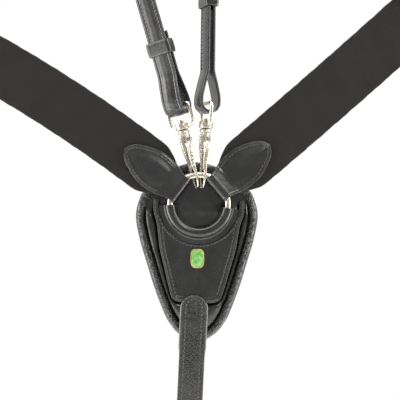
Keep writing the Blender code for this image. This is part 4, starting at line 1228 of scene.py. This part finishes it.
class BREASTPLATE_OT_arms(bpy.types.Operator):
    """Elastic bands with their leaf tabs, end pieces and dees"""

    bl_idname = "breastplate.arms"
    bl_label = "Side arms"

    def execute(self, context):
        for side in SIDES:
            place = arm_place(side)
            self.tab(side, place)
            self.elastic(side, place)
            self.end(side, place)
        return {"FINISHED"}

    def tab(self, side, place):
        """A leaf at each end of a strip folded round the ring. Its half width is a smooth curve of the
        distance from the ring's middle; inside the stitches each leaf swells, most along its middle."""
        tip = TAB_TIP - FOLD_PLACE
        leave = np.radians(62)
        neck = (TAB_TUBE * np.cos(leave), -TAB_TUBE * np.sin(leave))
        knots = [(x, -TAB_FLAT) for x in (tip, tip * 0.7, 15 * MM)]
        knots += [(9.6 * MM, -TAB_FLAT - 0.9 * MM), neck]
        leaf = smooth([(x, y, 0.0) for x, y in knots], 0.5 * MM)
        bend = turn(np.degrees(np.linspace(-leave, -2 * np.pi + leave, 60)), X, Y, TAB_TUBE)[1:-1]
        path = even(np.vstack([leaf, bend, leaf[::-1] * (1, -1, 1)]), 0.5 * MM)
        reach = np.maximum(path[:, 0], 0) + FOLD_PLACE
        table = smooth(np.array(TAB_WIDTHS) * MM, 0.3 * MM)
        half = np.interp(reach, table[:, 0], table[:, 1])
        l_all = lengths(path)
        pitch = chosen()[0].stitch_pitch

        def relief(l, v, d):
            out = np.interp(l, l_all, reach)
            leafy = step((out - 33 * MM) / (8 * MM))
            swell = 1.7 * MM * step((d - 3.8 * MM) / (9 * MM)) * leafy
            border = 0.3 * MM * bump(d - 2.4 * MM, 0.7 * MM)
            lines = edge_lines(l, v, d, TAB_SEAM, pitch, 0.55)
            return swell + (border + lines) * (0.15 + 0.85 * leafy)

        strip = Strap(place(path), place.z, half, TAB_LEATHER, relief, columns=72)
        made = strip.make(side + "_leaf")
        finish_piece(made, side + "_arm", "smooth_leather", "smooth_leather", side + "_leaf_tab")
        end = strip.l[-1]
        runs = [strip.inset_run(first, last, TAB_SEAM) for first, last in (
            (TAB_SEAM_START, 0.3 * MM), (end - TAB_SEAM_START, end - 0.3 * MM))]
        threads(side + "_leaf_stitching", runs, side + "_arm")

    def band_line(self, side, place, spacing=1.2 * MM):
        """(path, across) of the band: straight, then drifting off by the square of the distance."""
        out = np.arange(ARM_START, ELASTIC_END, spacing)
        drift = ARM_DRIFT[side] * (np.maximum(out - 60 * MM, 0) / (140 * MM)) ** 2
        path = place(np.stack([out - FOLD_PLACE, 0 * out, drift], 1))
        return path, unit(np.cross(place.y, slopes(path))), out

    def elastic(self, side, place):
        """The band flares from its gathered end under the tab by a sine, and its edges wander slightly."""
        path, across, out = self.band_line(side, place)
        flare = np.sin(np.pi / 2 * np.clip((out - ARM_START) / (30 * MM), 0, 1))
        half = ARM_NARROW + (ELASTIC_HALF - ARM_NARROW) * flare
        half = half + 0.12 * MM * np.sin(out * 260) + 0.08 * MM * np.sin(out * 611)

        def relief(l, v, d):
            selvedge = 0.18 * MM * bump(d - 1.3 * MM, 0.8 * MM)
            slack = 0.22 * MM * np.sin(l * 90) * np.cos(v * 70 + 0.6)
            return selvedge + slack + 0.1 * MM * np.sin(l * 230 + v * 60)

        made = Strap(path, across, half, 2.3 * MM, relief, columns=44).make(side + "_elastic_band")
        finish_piece(made, side + "_arm", "woven_elastic", "elastic", side + "_elastic")

    def end(self, side, place):
        """Leather folded round the dee and sewn on the band; the dee is a bent wire: a straight bar, two
        round corners and a bow."""
        heading = self.band_line(side, place, 0.5 * MM)[0][-2:]
        along = unit(heading[1] - heading[0])
        local = Place(at_joint(side + "_dee_swing"), along, np.cross(along, place.y))
        flat, tube = 2.55 * MM, 3.6 * MM
        start = CHAPE_START - DEE_PLACE
        leave = np.arctan2(flat, tube)
        leaf = np.array([(start, -flat, 0), (-4.4 * MM, -flat, 0)])
        bend = turn(np.degrees(np.linspace(-np.pi + leave, np.pi - leave, 40)), X, Y, tube)
        path = even(np.vstack([even(leaf, MM), bend, even(leaf, MM)[::-1] * (1, -1, 1)]), 0.8 * MM)
        half = ELASTIC_HALF + 0.8 * MM
        pitch = chosen()[0].stitch_pitch

        def relief(l, v, d):
            return edge_lines(l, v, d, CHAPE_SEAM, pitch, 0.4)

        strip = Strap(local(path), -local.z, half, 2 * MM, relief, columns=56, ends=(True, True))
        made = strip.make(side + "_end_fold")
        finish_piece(made, side + "_arm", "smooth_leather", "smooth_leather", side + "_end_chape")
        runs = []
        for base, sign in ((0.0, 1), (strip.l[-1], -1)):
            near, far = base + sign * CHAPE_SEAM, base + sign * 27 * MM
            across = np.linspace(CHAPE_SEAM - half, half - CHAPE_SEAM, 90)
            runs += [strip.side_run(near, far, v) for v in (half - CHAPE_SEAM, CHAPE_SEAM - half)]
            runs += [strip.on_face(np.full(90, row), across) for row in (near, far)]
        threads(side + "_end_stitching", runs, side + "_arm")
        width = half + DEE_WIRE + 1.2 * MM
        t = np.linspace(np.pi / 9, np.pi * 8 / 9, 60)
        bow = np.stack([20 * MM * np.sin(t) ** 0.8, 0 * t, -width * np.cos(t)], 1)
        bow = bow[bow[:, 0] > 4.8 * MM]
        corner = 4 * MM
        low = turn(np.linspace(0, 90, 9), -X, -Z, corner, (corner, 0, corner - width))
        high = turn(np.linspace(0, 90, 9), Z, -X, corner, (corner, 0, width - corner))
        path = even(np.vstack([low, bow, high]), 1.2 * MM, ring=True)
        made = skin(side + "_dee", rod(local(path), DEE_WIRE, local.y, ring=True), ring=True)
        finish_piece(made, side + "_dee", "nickel", "nickel", side + "_dee_ring")


# Snaps


class BREASTPLATE_OT_snaps(bpy.types.Operator):
    """Swivel snaps: jaws, rivet, spring, collar and eye"""

    bl_idname = "breastplate.snaps"
    bl_label = "Snaps"

    def execute(self, context):
        for side in SIDES:
            place = snap_place(side)
            self.jaw(side, place, -1, "back", side + "_snap")
            self.jaw(side, place, 1, "front", side + "_jaw")
            self.collar(side, place)
            self.rivet(side, place)
            self.eye(side)
        return {"FINISHED"}

    def jaw(self, side, place, sign, word, body):
        """A bowed finger: its middle line is a smooth curve, its section a superellipse that is broad and
        thick at the rivet and slim at the tip, with shallow hammered waves along it."""
        reach = 5.3 * MM
        knots = [(-0.08, 38.6), (-0.2, 32), (-0.69, 22), (-1, 11), (-1, 1.5), (-0.86, -4), (-0.51, -8.4),
                 (0.04, -11.9)]
        line = smooth([(0, sign * r * reach, z * MM) for r, z in knots], 0.5 * MM)
        z = line[:, 2]
        root, tip = step((z - 10 * MM) / (18 * MM)), step((2 * MM - z) / (14 * MM))
        clear = 1.2 * MM + (2.4 * MM if sign > 0 else 0)
        inner = 0.15 * MM + (clear - 0.15 * MM) * step((z - 27 * MM) / (3.8 * MM))
        inner = inner - 1.1 * MM * step((z - 2 * MM) / (6 * MM)) * step((26 * MM - z) / (6 * MM))
        outer = 2.5 * MM + 2.5 * MM * root - 0.95 * MM * tip
        along = lengths(line)
        close = np.sqrt(np.clip((along[-1] - along) / (1.2 * MM) + 0.1, 0, 1))
        top = np.sqrt(np.clip(along / (1.6 * MM) + 0.15, 0, 1))
        half_wide = (outer - inner) / 2 * close * top
        thick = (1.2 * MM + 1.3 * MM * root - 0.45 * MM * tip) * close * top
        t = np.linspace(0, 2 * np.pi, 28, endpoint=False)
        c, s = (np.sign(part) * np.abs(part) ** 0.7 for part in (np.cos(t), np.sin(t)))
        up = np.cross(X, slopes(line))
        waves = 0.05 * np.sin(along * 1900)[:, None]
        facets = 1 + waves * np.abs(s)[None, :] * (1 - root)[:, None]
        beside = sign * (outer + inner)[:, None] / 2 + half_wide[:, None] * c
        rows = line[:, None] + X * beside[..., None]
        rows = rows + up[:, None] * (thick[:, None] * s * facets)[..., None]
        made = skin(f"{side}_{word}_finger", place(rows))
        finish_piece(made, body, "cast_nickel", "nickel", f"{side}_snap_{word}_jaw")

    def collar(self, side, place):
        """A turned dome, stud and head, and the tang between the jaws."""
        base, top, head = COLLAR_PLACE / MM, COLLAR_PLACE / MM + 3.6, COLLAR_PLACE / MM + 10.2
        profile = [(0.5, base), (4.8, base), (5.5, base + 0.5), (5.6, base + 1.2), (5.5, base + 2.0),
                   (4.9, base + 3.0), (3.6, top), (1.7, top), (1.7, head), (2.9, head), (3.0, head + 0.4),
                   (2.9, head + 0.8), (2.5, head + 1.1), (2.6, head + 1.5), (2.7, head + 1.8),
                   (2.2, head + 2.4), (0.4, head + 2.7)]
        made = skin(side + "_collar", lathe(np.array(profile) * MM, place, sides=48))
        finish_piece(made, side + "_snap", "cast_nickel", "nickel", side + "_snap_collar")
        low, high = (-3.2 * MM, PIN_PLACE - 3.2 * MM), (3.2 * MM, COLLAR_PLACE + 0.8 * MM)
        outline = rounded_box(low, high, 1.6 * MM, 0.6 * MM)
        outline = np.stack([0 * outline[:, 0], outline[:, 0], outline[:, 2]], 1)
        made = skin(side + "_tang", place(np.array([outline + X * x * MM for x in (-0.9, -0.8, 0.8, 0.9)])))
        finish_piece(made, side + "_snap", "cast_nickel", "nickel")

    def rivet(self, side, place):
        """A turned pin with two domed heads, and two turns of spring wire round it."""
        half = np.array([(1.2, 0), (1.2, 5.3), (2.1, 5.3), (2.1, 5.6), (1.8, 5.95), (1.1, 6.15), (0.2, 6.2)])
        profile = np.vstack([half[::-1] * (1, -1), half[1:]]) * MM
        pin = place.moved((0, 0, PIN_PLACE))
        made = skin(side + "_rivet", lathe(profile, pin, X, Y, Z, sides=32))
        finish_piece(made, side + "_snap", "nickel", "nickel", side + "_snap_pin")
        t = np.linspace(0, 4 * np.pi, 90)
        out = np.cos(t)[:, None] * Y + np.sin(t)[:, None] * Z
        line = out * 1.85 * MM + X * (1.55 * MM + 0.76 * MM * t / (2 * np.pi))[:, None]
        ring = np.linspace(0, 2 * np.pi, 10, endpoint=False)[None, :, None]
        rows = line[:, None] + 0.35 * MM * (np.cos(ring) * out[:, None] + np.sin(ring) * X)
        made = skin(side + "_coil", pin(rows))
        finish_piece(made, side + "_snap", "spring_steel", "spring_steel", side + "_snap_spring")

    def eye(self, side):
        """Square wire eye on a turned hub; the wire's thickness waves a little, as a casting's does."""
        place = eye_place(side)
        outline = rounded_box((-EYE_HALF, 0), (EYE_HALF, EYE_HEIGHT), 4 * MM, 0.7 * MM)
        thick = EYE_WIRE * (1 + 0.05 * np.sin(lengths(outline) * 420))
        made = skin(side + "_eye_wire", rod(place(outline), thick, place.y, ring=True), ring=True)
        finish_piece(made, side + "_eye", "cast_nickel", "nickel", side + "_snap_eye")
        profile = [(2.0, -3), (5.6, -3), (6.3, -2.6), (6.6, -1.6), (6.6, 1.6), (6.3, 2.6), (5.6, 3), (2.0, 3)]
        made = skin(side + "_eye_hub", lathe(np.array(profile) * MM, place, sides=48), ring=True)
        finish_piece(made, side + "_eye", "cast_nickel", "nickel")


# Branch straps


class BREASTPLATE_OT_branches(bpy.types.Operator):
    """Looped branch straps with keepers and rein rings"""

    bl_idname = "breastplate.branches"
    bl_label = "Branch straps"

    def execute(self, context):
        for side in SIDES:
            place = branch_place(side)
            self.strap(side, place)
            self.keeper(side, place)
            path = turn(round_angles(110), X, Z, REIN_RADIUS, Z * REIN_RADIUS)
            hang = Place(at_joint(side + "_rein_ring_swing"), place.x, place.z)
            rows = rod(hang(path), REIN_WIRE, hang.y, ring=True)
            made = skin(side + "_rein_ring_wire", rows, ring=True)
            finish_piece(made, side + "_rein_ring", "nickel", "nickel", side + "_rein_ring")
        return {"FINISHED"}

    def strap(self, side, place):
        """Back run, teardrop loop round the eye, front run and fold over the rein ring, as one even line;
        the top narrows smoothly. Slack creases cross the bottom of the loop."""
        tear = [(LOOP_RADIUS, 0), (LOOP_RADIUS * 0.98, 6 * MM), (LOOP_RADIUS * 0.66, 18 * MM),
                (RUN_HALF + 0.3 * MM, 28 * MM), (RUN_HALF, 34 * MM)]
        front = smooth([(0, -y, z) for y, z in tear], 0.6 * MM)
        bottom = turn(np.linspace(180, 0, 40), -Y, -Z, LOOP_RADIUS)
        fold = at_joint(side + "_rein_ring_swing") - place.origin
        fold = np.array([fold @ place.x, fold @ place.y, fold @ place.z])
        radius = fold[1] + RUN_HALF
        over = turn(np.linspace(0, 180, 30), -Y, Z, radius, (0, fold[1], BRANCH_LENGTH))
        path = even(np.vstack([
            [(0, RUN_HALF, TURN_BACK[side])], front[::-1] * (1, -1, 1), bottom[1:-1], front, over,
            [(0, fold[1] + radius, BRANCH_LENGTH - 12 * MM)],
        ]), 0.7 * MM)
        l_all, z = lengths(path), path[:, 2]
        lowest = l_all[int(np.argmin(z))]
        late = l_all > lowest
        narrower = 5 * MM * step((z - BRANCH_LENGTH + 16 * MM) / (16 * MM))
        half = np.where(late, BRANCH_HALF - narrower, BRANCH_HALF)
        pitch = chosen()[0].stitch_pitch

        def relief(l, v, d):
            wave = np.sin((l - lowest) * 1300 + 3 * np.sin(v * 160))
            crease = 0.16 * MM * wave * bump(l - lowest, 16 * MM)
            crown = 0.3 * MM * step((d - 4.4 * MM) / (4 * MM))
            return crown + crease + edge_lines(l, v, d, BRANCH_SEAM, pitch, 0.35)

        strap = Strap(place(path), place.x, half, BRANCH_LEATHER, relief, columns=46, ends=(True, True))
        made = strap.make(side + "_looped_strap")
        finish_piece(made, side + "_branch", "smooth_leather", "grained_leather", side + "_branch_strap")
        front_seam = (lowest + SEAM_START[side], lowest + 112 * MM)
        back_seam = (3 * MM, lowest - 44 * MM)
        v = BRANCH_HALF - BRANCH_SEAM
        runs = [strap.side_run(*seam, place_across) for seam in (front_seam, back_seam)
                for place_across in (v, -v)]
        threads(side + "_looped_stitching", runs, side + "_branch")

    def keeper(self, side, place):
        """A closed band round both runs of the strap."""
        wide, deep = BRANCH_HALF + 1.25 * MM, RUN_HALF + BRANCH_LEATHER / 2 + 1.25 * MM
        outline = rounded_box((-wide, -deep), (wide, deep), 1.6 * MM, 0.5 * MM)
        path = np.stack([outline[:, 0], outline[:, 2], 0 * outline[:, 0] + SLIDE_PLACE[side]], 1)
        band = Strap(place(path), -place.z, KEEPER_HEIGHT / 2, KEEPER_LEATHER, keeper_relief,
                     ring=True, columns=22)
        made = band.make(side + "_sliding_keeper")
        finish_piece(made, side + "_keeper", "smooth_leather", "grained_leather", side + "_keeper")


# Studio


class BREASTPLATE_OT_stage(bpy.types.Operator):
    """Pale floor, soft lights and camera"""

    bl_idname = "breastplate.stage"
    bl_label = "Studio"

    def execute(self, context):
        scene = context.scene
        top = Z * chosen()[0].floor_drop
        under = top + Z * 0.01
        rim = turn(round_angles(96), X, Y, FLOOR_RADIUS)
        floor = skin("floor", np.array([rim * 0.02 - top, rim - top, rim - under, rim * 0.02 - under]))
        floor.data.materials.append(bpy.data.materials[FINISH + "studio_floor"])
        self.camera(scene)
        self.sky(scene)
        for name, where, size, power in LIGHTS:
            self.light(name, where, size, power)
        scene.view_settings.view_transform = "Standard"
        return {"FINISHED"}

    def camera(self, scene):
        data = bpy.data.cameras.new("camera")
        data.lens, data.sensor_width = LENS, SENSOR
        made = bpy.data.objects.new("camera", data)
        made.location = CAMERA_PLACE
        made.rotation_euler = (np.pi / 2, 0, 0)
        scene.collection.objects.link(made)
        scene.camera = made

    def light(self, name, where, size, power):
        data = bpy.data.lights.new(name, "AREA")
        data.shape, data.size, data.energy = "DISK", size, power
        made = bpy.data.objects.new(name + "_light", data)
        made.location = where
        made.rotation_euler = Vector(where).to_track_quat("Z", "Y").to_euler()
        made.visible_camera = False
        bpy.context.scene.collection.objects.link(made)

    def sky(self, scene):
        """White where it is seen directly. What lights the part is dim in front and behind, and bright
        at the sides."""
        world = bpy.data.worlds.new("studio")
        scene.world = world
        world.use_nodes = True
        tree = world.node_tree
        tree.nodes.clear()
        add = tree.nodes.new
        out, mix, seen, dim, rays, where, split, ramp = (add("ShaderNode" + kind) for kind in (
            "OutputWorld", "MixShader", "Background", "Background",
            "LightPath", "TexCoord", "SeparateXYZ", "MapRange",
        ))
        link = tree.links.new
        seen.inputs["Color"].default_value = (1, 1, 1, 1)
        seen.inputs["Strength"].default_value = 1.02
        link(where.outputs["Generated"], split.inputs[0])
        link(split.outputs["Y"], ramp.inputs["Value"])
        ramp.interpolation_type = "SMOOTHSTEP"
        fade = add("ShaderNodeMapRange")
        link(split.outputs["Y"], fade.inputs["Value"])
        for node, values in ((ramp, (-0.4, -0.18, 0.65, 10.0)), (fade, (0.02, 0.2, 1.0, 0.1))):
            for key, value in zip(RANGE_ENDS, values):
                node.inputs[key].default_value = value
        product = add("ShaderNodeMath")
        product.operation = "MULTIPLY"
        link(ramp.outputs["Result"], product.inputs[0])
        link(fade.outputs["Result"], product.inputs[1])
        link(product.outputs[0], dim.inputs["Strength"])
        dim.inputs["Color"].default_value = (1.0, 0.985, 0.96, 1)
        link(rays.outputs["Is Camera Ray"], mix.inputs[0])
        link(dim.outputs[0], mix.inputs[1])
        link(seen.outputs[0], mix.inputs[2])
        link(mix.outputs[0], out.inputs["Surface"])


# In the order in which they run
PIECES = (
    BREASTPLATE_OT_finishes,
    BREASTPLATE_OT_stage,
    BREASTPLATE_OT_ring,
    BREASTPLATE_OT_pad,
    BREASTPLATE_OT_plate,
    BREASTPLATE_OT_badge,
    BREASTPLATE_OT_lower_strap,
    BREASTPLATE_OT_arms,
    BREASTPLATE_OT_snaps,
    BREASTPLATE_OT_branches,
)


class BREASTPLATE_PT_panel(bpy.types.Panel):
    """Sizes, colours and one button for each group of pieces"""

    bl_label = "Breastplate"
    bl_idname = "BREASTPLATE_PT_panel"
    bl_space_type = "VIEW_3D"
    bl_region_type = "UI"
    bl_category = "Breastplate"

    def draw(self, context):
        for group in (context.scene.breastplate_sizes, context.scene.breastplate_colours):
            for key in group.bl_rna.properties.keys():
                if key not in ("rna_type", "name"):
                    self.layout.prop(group, key)
        for kind in PIECES:
            self.layout.operator(kind.bl_idname)


KINDS = (BreastplateSizes, BreastplateColours, *PIECES, BREASTPLATE_PT_panel)


def register():
    for kind in KINDS:
        bpy.utils.register_class(kind)
    bpy.types.Scene.breastplate_sizes = bpy.props.PointerProperty(type=BreastplateSizes)
    bpy.types.Scene.breastplate_colours = bpy.props.PointerProperty(type=BreastplateColours)


def unregister():
    del bpy.types.Scene.breastplate_colours
    del bpy.types.Scene.breastplate_sizes
    for kind in reversed(KINDS):
        bpy.utils.unregister_class(kind)


def main():
    """Make every piece in order."""
    register()
    for kind in PIECES:
        getattr(bpy.ops.breastplate, kind.bl_idname.split(".")[1])()


if __name__ == "__main__":
    main()
